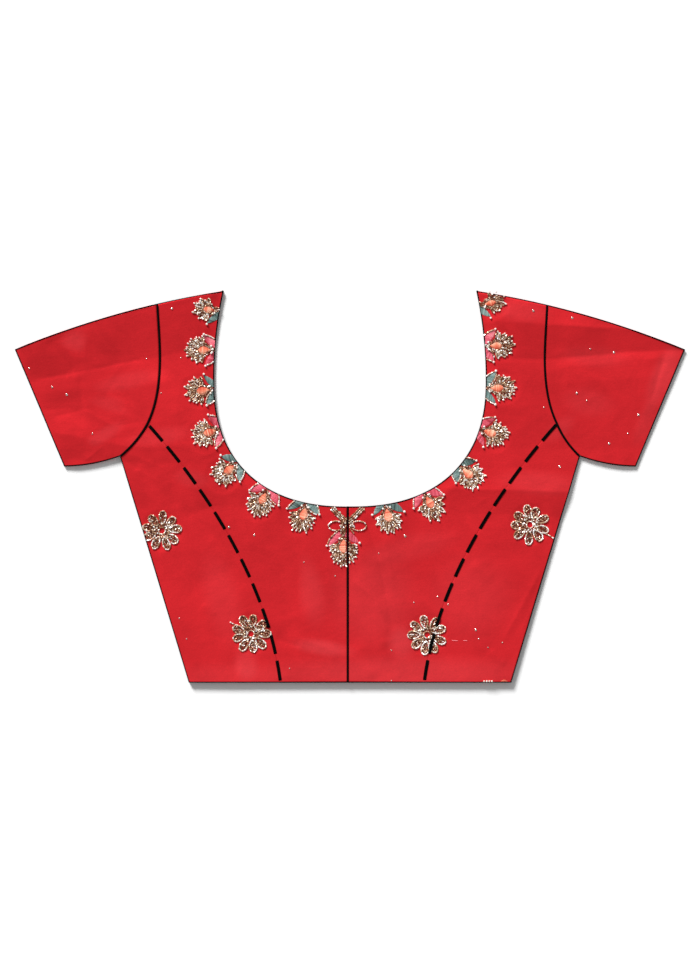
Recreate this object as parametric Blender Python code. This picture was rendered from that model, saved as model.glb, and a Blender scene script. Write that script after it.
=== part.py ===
"""A short-sleeved choli, the blouse of a lehenga set, laid flat with its front up.

The wearer's right is at -X, the hem at -Y, and the back panel lies on the surface at z = 0.
All the sizes below are in millimetres, and the model is in metres.
"""

import math

import bmesh
import bpy
import numpy as np

MM = 0.001

# ------------------------------------------------------------------ driving sizes, mm
LENGTH = 391.5  # neck point to hem
TOP = LENGTH / 2
HEM = -LENGTH / 2

NECK_HALF_TOP = 126.3  # centre to the neck point
NECK_HALF_MAX = 135.8  # widest half of the neck
NECK_WIDEST = 88.0  # how far below the neck point it is widest
NECK_DEPTH = 215.5  # neck point to the bottom of the neck
NECK_POWER = 2.36  # a little squarer than an ellipse
BACK_NECK_WIDER = 1.2  # the back neck is cut this much outside the front one

SHOULDER_SLOPE = 0.153  # drop of the shoulder line per mm at the neck point
SHOULDER_BEND = 0.000608  # and how fast the slope grows
CUFF_HALF = 335.0  # centre to the overarm corner of the cuff
CUFF_LOW = (285.7, 20.25)  # underarm corner of the cuff
UNDERARM = (229.9, 30.4)  # where armhole, sleeve and side seam meet
UNDERARM_BEND = 0.0033  # rise of the sleeve's lower edge per mm squared
HEM_HALF = 161.1

ARMHOLE_TOP_X = 194.8
ARMHOLE_PULL = ((191.8, 126.5), (184.0, 70.1))  # Bezier handles of the armhole
PRINCESS_AT = 0.751  # where the princess seam leaves the armhole, 0 at the shoulder
PRINCESS_PULL = ((144.9, -3.2), (83.8, -98.9))
PRINCESS_HEM = 71.8
SEAM_SHIFT = 2.3  # armhole and princess seams lie this much towards +X
CENTRE_X = -2.2  # where the front edge lies

# ------------------------------------------------------------------ cloth and layers, mm
WALL = 1.0
GAP = 0.3
SEAM_HALF = GAP / 2
Z_FRONT = WALL + GAP  # underside of the front layer where it lies flat
PIPING_R = 1.1  # armhole piping
EDGE_PIPING_R = 1.0  # piping of the front edge
BACK_PIPING_H = 0.95  # the same piping under the weight of the layers, pressed flat
SEAT = PIPING_R + GAP  # cloth keeps this far from the armhole line
EDGE_SEAT = EDGE_PIPING_R + GAP

UNDERLAP_T = 0.7
UNDERLAP_IN = 18.0  # how far it reaches under the right front
UNDERLAP_OUT = 12.0  # how far it is sewn under the left front
PLACKET_LIFT = 2.2  # underlap and hooks raise the front by this much
PLACKET_FLAT = 24.0
PLACKET_FADE = 85.0
HOOKS = 5
HOOK_T = 0.8
HOOK_FIRST = 16.0  # from the neck to the first hook
HOOK_PITCH = 35.0
MOST_LIFT = 3.5

# ------------------------------------------------------------------ grid
N_ARM_UP, N_ARM_LOW, N_PRINCESS = 10, 6, 14
N_NECK = 15
N_ACROSS, N_SIDE = 8, 6
N_SLEEVE = 8
N_BACK_ACROSS = 6

# The largest folds of the front layer, a row for each from the shoulder down: |x|, y and the height
# of the cloth, mm, at the points of the fold's line.
FOLDS_RIGHT = [
    [(115, 198, 3.3), (200, 183, 3.3), (270, 162, 3.3), (336, 136, 3.2)],
    [(115, 143.5, 0.4), (195, 129.2, 0.4), (230, 124.2, 0.5), (270, 116.2, 1.0), (336, 103, 0.5)],
    [(115, 112, 0.6), (200, 103, 1.6), (270, 97, 1.2), (336, 91, 1.2)],
    [(115, 84, 2.1), (200, 81, 1.9), (270, 78, 1.0), (336, 76, 0.6)],
    [(95, 30, 2.6), (135, 38, 3.1), (225, 41, 2.5), (246, 46, 2.2), (302, 54, 2.8), (336, 57, 2.6)],
    [(50, 22, 2.0), (150, 22, 2.1), (230, 25, 1.0)],
    [(30, -3, 1.3), (150, -3, 1.4), (230, -3, 1.0)],
    [(0, -18, 0.6), (80, -25, 0.7), (110, -18, 0.6), (135, -20.5, 0.4), (165, -26, 0.4), (220, -37, 0.5)],
    [(0, -95, 0.5), (120, -95, 0.6), (200, -95, 0.7)],
    [(0, -148, 0.6), (60, -148, 0.6), (120, -148, 1.5), (185, -148, 1.8)],
    [(0, -198, 3.3), (120, -198, 3.3), (170, -198, 2.8)],
]
FOLDS_LEFT = [
    [(115, 198, 2.3), (200, 183, 2.0), (336, 136, 2.0)],
    [(115, 164.2, 3.3), (160, 163.7, 3.3), (235, 160.8, 3.1), (262, 159.4, 2.2), (300, 150.5, 1.4), (336, 135.3, 1.0)],
    [(115, 127.8, 1.5), (210, 127.8, 0.5), (250, 132.4, 0.4), (275, 134.8, 0.4), (336, 136.2, 0.4)],
    [(115, 112, 1.5), (200, 110, 1.5), (270, 118, 1.6), (336, 119, 1.2)],
    [(115, 77, 2.0), (200, 77, 0.9), (280, 77, 0.9), (336, 77, 0.7)],
    [(115, 38, 0.5), (200, 38, 0.4), (290, 38, 0.4)],
    [(60, 20, 0.6), (140, 18, 0.8), (220, 16, 0.9)],
    [(90, 0, 1.6), (130, -3.2, 1.8), (170, -4.2, 2.2), (250, -6, 2.0)],
    [(50, -25, 0.5), (130, -27, 0.4), (220, -31, 0.4)],
    [(0, -60, 0.5), (100, -60, 0.5), (210, -60, 0.8)],
    [(0, -103, 0.6), (60, -103, 0.9), (120, -103, 1.2), (195, -103, 1.1)],
    [(0, -150, 1.2), (60, -150, 1.6), (180, -150, 1.9)],
    [(0, -198, 3.3), (120, -198, 3.3), (165, -198, 2.9)],
]
EDGE_FADE = 7.0  # the folds die away this near the edges that are joined to the back
FREE_EDGE = 0.35  # and to this share of their height at the neck and the cuffs


# ------------------------------------------------------------------ outline curves
def bezier(p0, p1, p2, p3, t):
    t = np.asarray(t, float)[:, None]
    p0, p1, p2, p3 = (np.array(p, float) for p in (p0, p1, p2, p3))
    return (
        (1 - t) ** 3 * p0
        + 3 * (1 - t) ** 2 * t * p1
        + 3 * (1 - t) * t**2 * p2
        + t**3 * p3
    )


def spaced(points, n):
    """n + 1 points along a line, evenly by length."""
    points = np.asarray(points, float)
    along = np.concatenate(
        [[0], np.cumsum(np.linalg.norm(np.diff(points, axis=0), axis=1))]
    )
    at = np.linspace(0, along[-1], n + 1)
    return np.stack([np.interp(at, along, points[:, k]) for k in (0, 1)], axis=1)


def cut_start(points, length):
    """The line without its first stretch of that length."""
    points = np.asarray(points, float)
    along = np.concatenate(
        [[0], np.cumsum(np.linalg.norm(np.diff(points, axis=0), axis=1))]
    )
    first = [np.interp(length, along, points[:, k]) for k in (0, 1)]
    return np.vstack([first, points[along > length + 1e-6]])


def offset(points, distance):
    """The line moved sideways, to its right as one walks along it."""
    points = np.asarray(points, float)
    along = np.gradient(points, axis=0)
    along /= np.linalg.norm(along, axis=1)[:, None]
    return points + distance * np.stack([along[:, 1], -along[:, 0]], axis=1)


def shoulder_y(x):
    t = np.asarray(x, float) - NECK_HALF_TOP
    return TOP - SHOULDER_SLOPE * t - SHOULDER_BEND * t * t


def neck_line(end_x, wider=0.0, n=400):
    """From the neck point down to the bottom of the neck at x = end_x, for the +X side."""
    s = np.linspace(0, 1, n)
    drop = NECK_HALF_MAX - NECK_HALF_TOP
    upper = np.stack(
        [NECK_HALF_MAX - drop * (1 - s) ** 2, TOP - NECK_WIDEST * s], axis=1
    )
    a = s * math.pi / 2
    lower = np.stack(
        [
            NECK_HALF_MAX * np.cos(a) ** (2 / NECK_POWER),
            TOP
            - NECK_WIDEST
            - (NECK_DEPTH - NECK_WIDEST) * np.sin(a) ** (2 / NECK_POWER),
        ],
        axis=1,
    )
    line = np.vstack([upper, lower[1:]])
    if wider:
        line = offset(line, -wider)
        line[0] = (line[0][0], float(shoulder_y(line[0][0])))
        line[-1] = (0.0, line[-1][1])
    keep = line[line[:, 0] > end_x + 0.5]
    return np.vstack([keep, [end_x, line[-1][1]]])


def armhole_line(t):
    top = (ARMHOLE_TOP_X, float(shoulder_y(ARMHOLE_TOP_X)))
    return bezier(top, *ARMHOLE_PULL, UNDERARM, t)


def armhole_stations():
    """One point for each station of the armhole, that all the pieces round it share."""
    up = spaced(armhole_line(np.linspace(0, PRINCESS_AT, 200)), N_ARM_UP)
    low = spaced(armhole_line(np.linspace(PRINCESS_AT, 1, 200)), N_ARM_LOW)
    return np.vstack([up, low[1:]])


def shoulder_line(x0, x1, n):
    x = np.linspace(x0, x1, n + 1)
    return np.stack([x, shoulder_y(x)], axis=1)


def underarm_line(n):
    """The sleeve's lower edge, from the underarm point to the cuff."""
    x = np.linspace(UNDERARM[0], CUFF_LOW[0], n + 1)
    rise = UNDERARM_BEND * (CUFF_LOW[0] - x) ** 2
    rise *= (UNDERARM[1] - CUFF_LOW[1]) / rise[0]
    return np.stack([x, CUFF_LOW[1] + rise], axis=1)


def princess_line():
    start = armhole_line([PRINCESS_AT])[0]
    end = (PRINCESS_HEM, HEM)
    return bezier(start, *PRINCESS_PULL, end, np.linspace(0, 1, 300))


def crossing_length(a, b, clear):
    """How far along direction b one is that far from a line of direction a."""
    a, b = np.array(a, float), np.array(b, float)
    a, b = a / np.linalg.norm(a), b / np.linalg.norm(b)
    return clear / abs(a[0] * b[1] - a[1] * b[0])


def to_side(points, side, shift=0.0):
    """A line of the +X half, on the side asked for."""
    points = np.array(points, float)
    points[:, 0] = side * points[:, 0] + shift
    return points


def edges():
    """The edges of the +X half: overarm and shoulder, underarm and side seam, neck, cuff."""
    cuff_top = (CUFF_HALF, float(shoulder_y(CUFF_HALF)))
    overarm = shoulder_line(NECK_HALF_TOP, CUFF_HALF, 40)
    underside = np.vstack(
        [underarm_line(8)[::-1], spaced([UNDERARM, (HEM_HALF, HEM)], 12)[1:]]
    )
    return overarm, underside, neck_line(0.0, n=40), np.array([cuff_top, CUFF_LOW])


def edge_distance(points, line):
    """Each point's distance from an edge that is the same on both sides."""
    p = np.asarray(points, float).copy()
    p[:, 0] = np.abs(p[:, 0])
    a, b = line[:-1], line[1:]
    d = b - a
    best = np.full(len(p), 1e9)
    for i in range(len(a)):
        t = np.clip(((p - a[i]) @ d[i]) / max(d[i] @ d[i], 1e-9), 0, 1)
        best = np.minimum(best, np.linalg.norm(p - a[i] - t[:, None] * d[i], axis=1))
    return best


# ------------------------------------------------------------------ the front layer's relief
def smooth(x):
    x = np.clip(x, 0, 1)
    return x * x * (3 - 2 * x)


def fold_y(ax, line):
    """Where a fold's line passes at each |x|; its end stretches go on beyond its ends."""
    xs, ys, _ = np.array(line, float).T
    first = (ys[1] - ys[0]) / (xs[1] - xs[0])
    last = (ys[-1] - ys[-2]) / (xs[-1] - xs[-2])
    y = np.interp(ax, xs, ys)
    y = np.where(ax < xs[0], ys[0] + (ax - xs[0]) * first, y)
    return np.where(ax > xs[-1], ys[-1] + (ax - xs[-1]) * last, y)


def fold_lift(x, y, folds):
    """Height across the folds of one side, their crests rounded over a few millimetres."""
    ax = np.abs(x)
    total = np.zeros_like(ax)
    taps = (-4.0, -2.0, 0.0, 2.0, 4.0)
    lines = [fold_y(ax, line) for line in folds]
    heights = [np.interp(ax, [p[0] for p in line], [p[2] for p in line]) for line in folds]
    for tap in taps:
        value = heights[0].copy()
        for top, low, h0, h1 in zip(lines[:-1], lines[1:], heights[:-1], heights[1:]):
            t = np.clip((top - (y + tap)) / np.maximum(top - low, 1.0), 0, 1)
            value = np.where(t > 0, h0 + (h1 - h0) * t, value)
        total += value
    return total / len(taps)


def lift(points):
    """How far the front layer stands above its flat place, mm."""
    p = np.asarray(points, float)
    x, y = p[:, 0], p[:, 1]
    w = smooth((x + 40) / 80)
    folds = (1 - w) * fold_lift(x, y, FOLDS_RIGHT) + w * fold_lift(x, y, FOLDS_LEFT)
    joined = np.minimum(edge_distance(p, OVERARM), edge_distance(p, UNDERSIDE))
    free = np.minimum(edge_distance(p, NECK), edge_distance(p, CUFF))
    edge = smooth(joined / EDGE_FADE)
    edge *= FREE_EDGE + (1 - FREE_EDGE) * smooth(free / (2 * EDGE_FADE))
    near = np.abs(x - CENTRE_X)
    below_neck = y < TOP - NECK_DEPTH + 30
    placket = PLACKET_LIFT * (
        1 - smooth((near - PLACKET_FLAT) / (PLACKET_FADE - PLACKET_FLAT))
    )
    placket = np.where(below_neck, placket, 0.0)
    raised = placket + edge * folds * (1 - 0.75 * placket / PLACKET_LIFT)
    return np.minimum(raised, MOST_LIFT)


# ------------------------------------------------------------------ meshes
def coons(c0, c1, r0, r1):
    """Points of a patch between an inner and an outer line, and its top and bottom ends."""
    n, m = len(c0) - 1, len(r0) - 1
    u = np.linspace(0, 1, n + 1)[:, None, None]
    v = np.linspace(0, 1, m + 1)[None, :, None]
    ruled = (1 - v) * c0[:, None] + v * c1[:, None]
    ends = (1 - u) * r0[None] + u * r1[None]
    corners = (1 - u) * ((1 - v) * c0[0] + v * c1[0]) + u * (
        (1 - v) * c0[-1] + v * c1[-1]
    )
    return ruled + ends - corners


def new_object(name, bm, material, smooth_angle=50):
    mesh = bpy.data.meshes.new(name)
    bmesh.ops.recalc_face_normals(bm, faces=bm.faces)
    bm.to_mesh(mesh)
    bm.free()
    mesh.shade_smooth()
    mesh.set_sharp_from_angle(angle=math.radians(smooth_angle))
    mesh.materials.append(material)
    obj = bpy.data.objects.new(name, mesh)
    bpy.context.scene.collection.objects.link(obj)
    obj.parent = garment
    return obj


def slab(bm, grid, low, high):
    """A wall over a grid of plan points, between two heights at each point, mm."""
    n, m = grid.shape[:2]
    top = [
        [
            bm.verts.new((grid[i, j, 0] * MM, grid[i, j, 1] * MM, high[i, j] * MM))
            for j in range(m)
        ]
        for i in range(n)
    ]
    bottom = [
        [
            bm.verts.new((grid[i, j, 0] * MM, grid[i, j, 1] * MM, low[i, j] * MM))
            for j in range(m)
        ]
        for i in range(n)
    ]
    for i in range(n - 1):
        for j in range(m - 1):
            bm.faces.new((top[i][j], top[i + 1][j], top[i + 1][j + 1], top[i][j + 1]))
            bm.faces.new(
                (bottom[i][j], bottom[i][j + 1], bottom[i + 1][j + 1], bottom[i + 1][j])
            )
    rim = (
        [(i, 0) for i in range(n)]
        + [(n - 1, j) for j in range(1, m)]
        + [(i, m - 1) for i in range(n - 2, -1, -1)]
        + [(0, j) for j in range(m - 2, 0, -1)]
    )
    for (i, j), (k, q) in zip(rim, rim[1:] + rim[:1]):
        bm.faces.new((top[i][j], bottom[i][j], bottom[k][q], top[k][q]))


def front_panel(name, grid, material):
    shape = grid.shape[:2]
    raised = lift(grid.reshape(-1, 2)).reshape(shape)
    bm = bmesh.new()
    slab(bm, grid, Z_FRONT + raised, Z_FRONT + raised + WALL)
    return new_object(name, bm, material)


def make_material(name, colour, roughness, metallic=0.0):
    material = bpy.data.materials.new(name)
    material.use_nodes = True
    shader = material.node_tree.nodes["Principled BSDF"]
    shader.inputs["Base Color"].default_value = (*colour, 1.0)
    shader.inputs["Roughness"].default_value = roughness
    shader.inputs["Metallic"].default_value = metallic
    return material


# ------------------------------------------------------------------ the pieces
def centre_grid(side):
    """Plan of a front centre panel: neck and front edge inside, armhole and princess seam outside."""
    name_x = side * (CENTRE_X + side * EDGE_SEAT)
    neck = spaced(neck_line(name_x), N_NECK)
    bottom = neck[-1]
    edge = spaced([bottom, (name_x, HEM)], N_ARM_UP + N_PRINCESS - N_NECK)
    inner = to_side(np.vstack([neck, edge[1:]]), side)
    arm = armhole_stations()
    seat = offset(arm, SEAT)[: N_ARM_UP + 1]
    seam = princess_line()
    clear = crossing_length(
        arm[N_ARM_UP + 1] - arm[N_ARM_UP - 1], seam[3] - seam[0], SEAT
    )
    seam = spaced(cut_start(seam, clear), N_PRINCESS)
    seam = offset(seam, SEAM_HALF)
    seam[-1, 1] = HEM
    step = shoulder_line(ARMHOLE_TOP_X - 10, ARMHOLE_TOP_X, 1)
    away = crossing_length(arm[1] - arm[0], step[1] - step[0], SEAT)
    tip_x = ARMHOLE_TOP_X - away
    seat[0] = (tip_x, float(shoulder_y(tip_x)))
    seat[-1] = seam[0]
    outer = to_side(np.vstack([seat, seam[1:]]), side, SEAM_SHIFT)
    top_x = np.linspace(inner[0][0], outer[0][0], N_ACROSS + 1)
    blend = np.linspace(0, 1, N_ACROSS + 1)
    top = np.stack([top_x, shoulder_y(side * (top_x - blend * SEAM_SHIFT))], axis=1)
    low = spaced([inner[-1], outer[-1]], N_ACROSS)
    return coons(inner, outer, top, low)


def side_grid(side):
    """Plan of a front side panel: princess seam inside, side seam outside, armhole above."""
    arm = armhole_stations()
    seam = princess_line()
    clear = crossing_length(
        arm[N_ARM_UP + 1] - arm[N_ARM_UP - 1], seam[3] - seam[0], SEAT
    )
    seam = spaced(cut_start(seam, clear), N_PRINCESS)
    seam = offset(seam, -SEAM_HALF)
    seam[-1, 1] = HEM
    edge = np.array([UNDERARM, (HEM_HALF, HEM)])
    away = crossing_length(arm[-1] - arm[-2], edge[1] - edge[0], SEAT)
    outer = spaced(cut_start(edge, away), N_PRINCESS)
    seat = offset(arm, SEAT)[N_ARM_UP:]
    seat[0], seat[-1] = seam[0], outer[0]
    inner = to_side(seam, side, SEAM_SHIFT)
    fade = np.linspace(1, 0, N_SIDE + 1)
    top = to_side(seat, side) + np.stack([SEAM_SHIFT * fade, 0 * fade], axis=1)
    outer = to_side(outer, side)
    low = spaced([inner[-1], outer[-1]], N_SIDE)
    return coons(inner, outer, top, low)


def armhole_on(side):
    """The armhole line on one side. Its shift dies away below the princess seam, so that it ends
    at the underarm point of the outline."""
    arm = armhole_stations()
    fade = np.concatenate([np.ones(N_ARM_UP), np.linspace(1, 0, N_ARM_LOW + 1)])
    moved = to_side(arm, side)
    moved[:, 0] += SEAM_SHIFT * fade
    return moved


def back_grid():
    """Plan of the back: two halves that share the centre line, as one grid from side to side."""
    rows = N_ARM_UP + N_ARM_LOW + N_PRINCESS
    halves = []
    for side in (-1, 1):
        neck = spaced(neck_line(0.0, wider=BACK_NECK_WIDER), 17)
        centre = spaced([neck[-1], (0.0, HEM)], rows - 17)
        inner = to_side(np.vstack([neck, centre[1:]]), side)
        arm = armhole_stations()
        seat = offset(arm, SEAT)
        edge = np.array([UNDERARM, (HEM_HALF, HEM)])
        away = crossing_length(arm[-1] - arm[-2], edge[1] - edge[0], SEAT)
        outer = spaced(cut_start(edge, away), N_PRINCESS)
        step = shoulder_line(ARMHOLE_TOP_X - 10, ARMHOLE_TOP_X, 1)
        gone = crossing_length(arm[1] - arm[0], step[1] - step[0], SEAT)
        tip_x = ARMHOLE_TOP_X - gone
        seat[0] = (tip_x, float(shoulder_y(tip_x)))
        seat[-1] = outer[0]
        shift = np.concatenate(
            [np.ones(N_ARM_UP), np.linspace(1, 0, N_ARM_LOW + 1)]
        )
        seat = to_side(seat, side)
        seat[:, 0] += SEAM_SHIFT * shift
        outer = np.vstack([seat, to_side(outer, side)[1:]])
        top_x = np.linspace(inner[0][0], outer[0][0], N_BACK_ACROSS + 1)
        blend = np.linspace(0, 1, N_BACK_ACROSS + 1)
        top = np.stack(
            [top_x, shoulder_y(side * (top_x - blend * SEAM_SHIFT))], axis=1
        )
        low = spaced([inner[-1], outer[-1]], N_BACK_ACROSS)
        halves.append(coons(inner, outer, top, low))
    return halves, 17


def back_panel(material):
    """The back is one wall: its halves are joined along the centre line, below the neck."""
    halves, neck_rows = back_grid()
    bm = bmesh.new()
    for grid in halves:
        flat = np.zeros(grid.shape[:2])
        slab(bm, grid, flat, flat + WALL)
    between = [
        f
        for f in bm.faces
        if abs(f.normal.z) < 0.5 or f.normal.length == 0
        if all(abs(v.co.x) < 1e-7 for v in f.verts)
    ]
    bmesh.ops.delete(bm, geom=between, context="FACES_ONLY")
    bmesh.ops.remove_doubles(bm, verts=bm.verts, dist=1e-6)
    return new_object("back", bm, material)


def sleeve(name, side, material):
    """A flattened tube: rings of the outer and inner surface from the armhole to the cuff."""
    arm = armhole_stations()
    head = offset(arm, -SEAT)
    step = shoulder_line(ARMHOLE_TOP_X, ARMHOLE_TOP_X + 10, 1)
    away = crossing_length(arm[1] - arm[0], step[1] - step[0], SEAT)
    tip_x = ARMHOLE_TOP_X + away
    head[0] = (tip_x, float(shoulder_y(tip_x)))
    under = underarm_line(60)
    gone = crossing_length(arm[-1] - arm[-2], under[1] - under[0], SEAT)
    under = spaced(cut_start(under, gone), N_SLEEVE)
    head[-1] = under[0]
    over = spaced(shoulder_line(tip_x, CUFF_HALF, 60), N_SLEEVE)
    cuff = spaced([over[-1], CUFF_LOW], N_ARM_UP + N_ARM_LOW)
    # from the armhole (row 0) to the cuff, and from overarm (column 0) to underarm
    grid = coons(over, under, head, cuff)
    n, m = grid.shape[:2]
    shift = np.concatenate([np.ones(N_ARM_UP), np.linspace(1, 0, N_ARM_LOW + 1)])
    grid[:, :, 0] *= side
    grid[:, :, 0] += SEAM_SHIFT * shift[None, :] * np.linspace(1, 0, n)[:, None]
    raised = lift(grid.reshape(-1, 2)).reshape(n, m)

    def inset(line, by):
        """The row with both its ends drawn in, so that the fold is rounded."""
        line = line.copy()
        for end, nxt in ((0, 1), (-1, -2)):
            d = line[nxt] - line[end]
            line[end] = line[end] + d / np.linalg.norm(d) * by
        return line

    def ring(i, inner):
        """One closed ring: over the top layer and back under the bottom one."""
        by, fold_by = (1.7, WALL + 0.1) if inner else (0.8, 0.0)
        row = inset(grid[i], by)
        fold = inset(grid[i], fold_by) if inner else grid[i]
        mid = Z_FRONT - GAP / 2
        upper = Z_FRONT + raised[i] + (0.0 if inner else WALL)
        lower = WALL if inner else 0.0
        points = [(*fold[0], mid)]
        points += [(*p, z) for p, z in zip(row, upper)]
        points += [(*fold[-1], mid)]
        points += [(*p, lower) for p in row[::-1]]
        return points

    bm = bmesh.new()
    skins = []
    for inner in (False, True):
        rings = [
            [bm.verts.new((x * MM, y * MM, z * MM)) for x, y, z in ring(i, inner)]
            for i in range(n)
        ]
        for a, b in zip(rings[:-1], rings[1:]):
            for k in range(len(a)):
                q = (k + 1) % len(a)
                bm.faces.new((a[k], a[q], b[q], b[k]))
        skins.append(rings)
    for end in (0, -1):
        a, b = skins[0][end], skins[1][end]
        for k in range(len(a)):
            q = (k + 1) % len(a)
            bm.faces.new((a[k], b[k], b[q], a[q]))
    return new_object(name, bm, material)


def tube(name, line, heights, radius, material):
    """Piping as a bevelled curve through plan points and heights, with its ends closed."""
    curve = bpy.data.curves.new(name, "CURVE")
    curve.dimensions = "3D"
    spline = curve.splines.new("POLY")
    spline.points.add(len(line) - 1)
    for point, (x, y), z in zip(spline.points, line, heights):
        point.co = (x * MM, y * MM, z * MM, 1.0)
    curve.bevel_depth = radius * MM
    curve.bevel_resolution = 1
    curve.use_fill_caps = True
    curve.materials.append(material)
    obj = bpy.data.objects.new(name, curve)
    bpy.context.scene.collection.objects.link(obj)
    obj.parent = garment
    return obj


def trimmed(line, start, end):
    """A line with a stretch taken off each end, its inner points kept."""
    line = cut_start(line, start)
    return cut_start(line[::-1], end)[::-1]


def piping_front(name, side, material):
    line = trimmed(armhole_on(side), 0.9, 1.2)
    heights = Z_FRONT + lift(line) + PIPING_R + 0.05
    return tube(name, line, heights, PIPING_R, material)


def piping_back(name, side, material):
    """The stretch in the back armhole, pressed flat by the layers above it."""
    line = trimmed(armhole_on(side), 0.9, 1.2)
    across = np.stack([offset(line, -PIPING_R), offset(line, PIPING_R)], axis=1)
    if side < 0:
        across = across[:, ::-1]
    shape = across.shape[:2]
    bm = bmesh.new()
    slab(bm, across, np.zeros(shape), np.full(shape, BACK_PIPING_H))
    return new_object(name, bm, material)


def front_edge_piping(material):
    y = np.linspace(TOP - NECK_DEPTH - 0.3, HEM + 0.6, 10)
    line = np.stack([np.full_like(y, CENTRE_X), y], axis=1)
    heights = Z_FRONT + lift(line) + EDGE_PIPING_R + 0.05
    return tube("front_edge_piping", line, heights, EDGE_PIPING_R, material)


def underlap(material):
    """The stand under the front edge. It is sewn under the left front, and steps down to pass
    under the right front and its hooks."""
    section = [  # x from the front edge, height of the underside
        (-UNDERLAP_IN, Z_FRONT),
        (-2.0, Z_FRONT),
        (3.0, Z_FRONT + PLACKET_LIFT - GAP - UNDERLAP_T),
        (UNDERLAP_OUT, Z_FRONT + PLACKET_LIFT - GAP - UNDERLAP_T),
    ]
    y = np.linspace(TOP - NECK_DEPTH - 1.5, HEM + 2.0, 5)
    grid = np.array([[(CENTRE_X + x, v) for x, _ in section] for v in y])
    low = np.array([[z for _, z in section] for _ in y])
    bm = bmesh.new()
    slab(bm, grid, low, low + UNDERLAP_T)
    return new_object("underlap", bm, material)


HOOK_OUTLINE = [  # x along the hook, half its width: the bill's round end, then the sewn lobes
    (4.7, 0.0),
    (4.4, 0.7),
    (3.5, 1.2),
    (-2.4, 1.2),
    (-2.4, 2.6),
    (-3.2, 3.5),
    (-4.4, 3.5),
    (-5.2, 2.6),
]


def hook(name, x, y, z, material):
    """A flat wire hook, its bill towards the front edge."""
    half = [(px * MM, py * MM) for px, py in HOOK_OUTLINE]
    around = half + [(px, -py) for px, py in half[:0:-1]]
    bm = bmesh.new()
    base = bm.faces.new([bm.verts.new((px, py, 0.0)) for px, py in around])
    made = bmesh.ops.extrude_face_region(bm, geom=[base])
    top = [v for v in made["geom"] if isinstance(v, bmesh.types.BMVert)]
    bmesh.ops.translate(bm, verts=top, vec=(0, 0, HOOK_T * MM))
    bmesh.ops.triangulate(bm, faces=bm.faces)
    obj = new_object(name, bm, material)
    obj.location = (x * MM, y * MM, z * MM)
    return obj


# ------------------------------------------------------------------ build
for old in list(bpy.data.objects):
    bpy.data.objects.remove(old, do_unlink=True)

garment = bpy.data.objects.new("choli", None)
bpy.context.scene.collection.objects.link(garment)
OVERARM, UNDERSIDE, NECK, CUFF = edges()

silk = make_material("red_silk", (0.62, 0.025, 0.034), 0.48)
black = make_material("black_piping_cord", (0.012, 0.011, 0.012), 0.6)
steel = make_material("hook_steel", (0.55, 0.54, 0.52), 0.3, 1.0)

SIDES = (("right", -1), ("left", 1))

back_panel(silk)
for side_name, s in SIDES:
    front_panel(f"front_centre_{side_name}", centre_grid(s), silk)
    front_panel(f"front_side_{side_name}", side_grid(s), silk)
    sleeve(f"sleeve_{side_name}", s, silk)
    piping_front(f"armhole_piping_front_{side_name}", s, black)
    piping_back(f"armhole_piping_back_{side_name}", s, black)
front_edge_piping(black)
underlap(silk)
for k in range(HOOKS):
    hook(
        f"hook_{k + 1}",
        CENTRE_X - 6.5,
        TOP - NECK_DEPTH - HOOK_FIRST - k * HOOK_PITCH,
        Z_FRONT + UNDERLAP_T + GAP,
        steel,
    )
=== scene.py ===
"""Looks of a choli blouse laid flat with its front up: red silk, bead and floss embroidery, black
piping, black running stitch along the princess seams and black overcast edges.

Lengths in the tables and functions are millimetres, in the row frame. MM turns them into metres.
"""

import math

import bpy
import numpy as np
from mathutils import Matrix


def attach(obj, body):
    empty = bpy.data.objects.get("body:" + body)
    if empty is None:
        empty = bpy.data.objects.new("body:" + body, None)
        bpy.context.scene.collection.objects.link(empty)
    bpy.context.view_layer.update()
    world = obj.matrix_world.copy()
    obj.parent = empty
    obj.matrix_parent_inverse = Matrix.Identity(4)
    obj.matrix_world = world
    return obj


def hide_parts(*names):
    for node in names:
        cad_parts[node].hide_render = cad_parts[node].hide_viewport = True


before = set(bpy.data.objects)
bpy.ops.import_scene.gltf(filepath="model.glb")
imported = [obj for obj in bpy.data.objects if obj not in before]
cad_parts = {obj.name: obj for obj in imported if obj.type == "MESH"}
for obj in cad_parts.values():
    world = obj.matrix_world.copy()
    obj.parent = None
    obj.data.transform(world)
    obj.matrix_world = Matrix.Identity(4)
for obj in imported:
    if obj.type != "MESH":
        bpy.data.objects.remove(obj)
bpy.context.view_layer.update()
MM = 0.001

# ------------------------------------------------------------------ sizes, as in the construction
LENGTH = 391.5
TOP = LENGTH / 2
HEM = -LENGTH / 2
NECK_HALF_TOP = 126.3
NECK_HALF_MAX = 135.8
NECK_WIDEST = 88.0
NECK_DEPTH = 215.5
NECK_POWER = 2.36
BACK_NECK_WIDER = 1.2
SHOULDER_SLOPE = 0.153
SHOULDER_BEND = 0.000608
CUFF_HALF = 335.0
CUFF_LOW = (285.7, 20.25)
UNDERARM = (229.9, 30.4)
UNDERARM_BEND = 0.0033
HEM_HALF = 161.1
ARMHOLE_TOP_X = 194.8
ARMHOLE_PULL = ((191.8, 126.5), (184.0, 70.1))
PRINCESS_AT = 0.751
PRINCESS_PULL = ((144.9, -3.2), (83.8, -98.9))
PRINCESS_HEM = 71.8
SEAM_SHIFT = 2.3
CENTRE_X = -2.2
WALL = 1.0
GAP = 0.3
Z_FRONT = WALL + GAP
PIPING_R = 1.1
EDGE_PIPING_R = 1.0
BACK_PIPING_H = 0.95
PLACKET_LIFT = 2.2
PLACKET_FLAT = 24.0
PLACKET_FADE = 85.0
MOST_LIFT = 3.5
EDGE_FADE = 7.0
FREE_EDGE = 0.35

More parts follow.
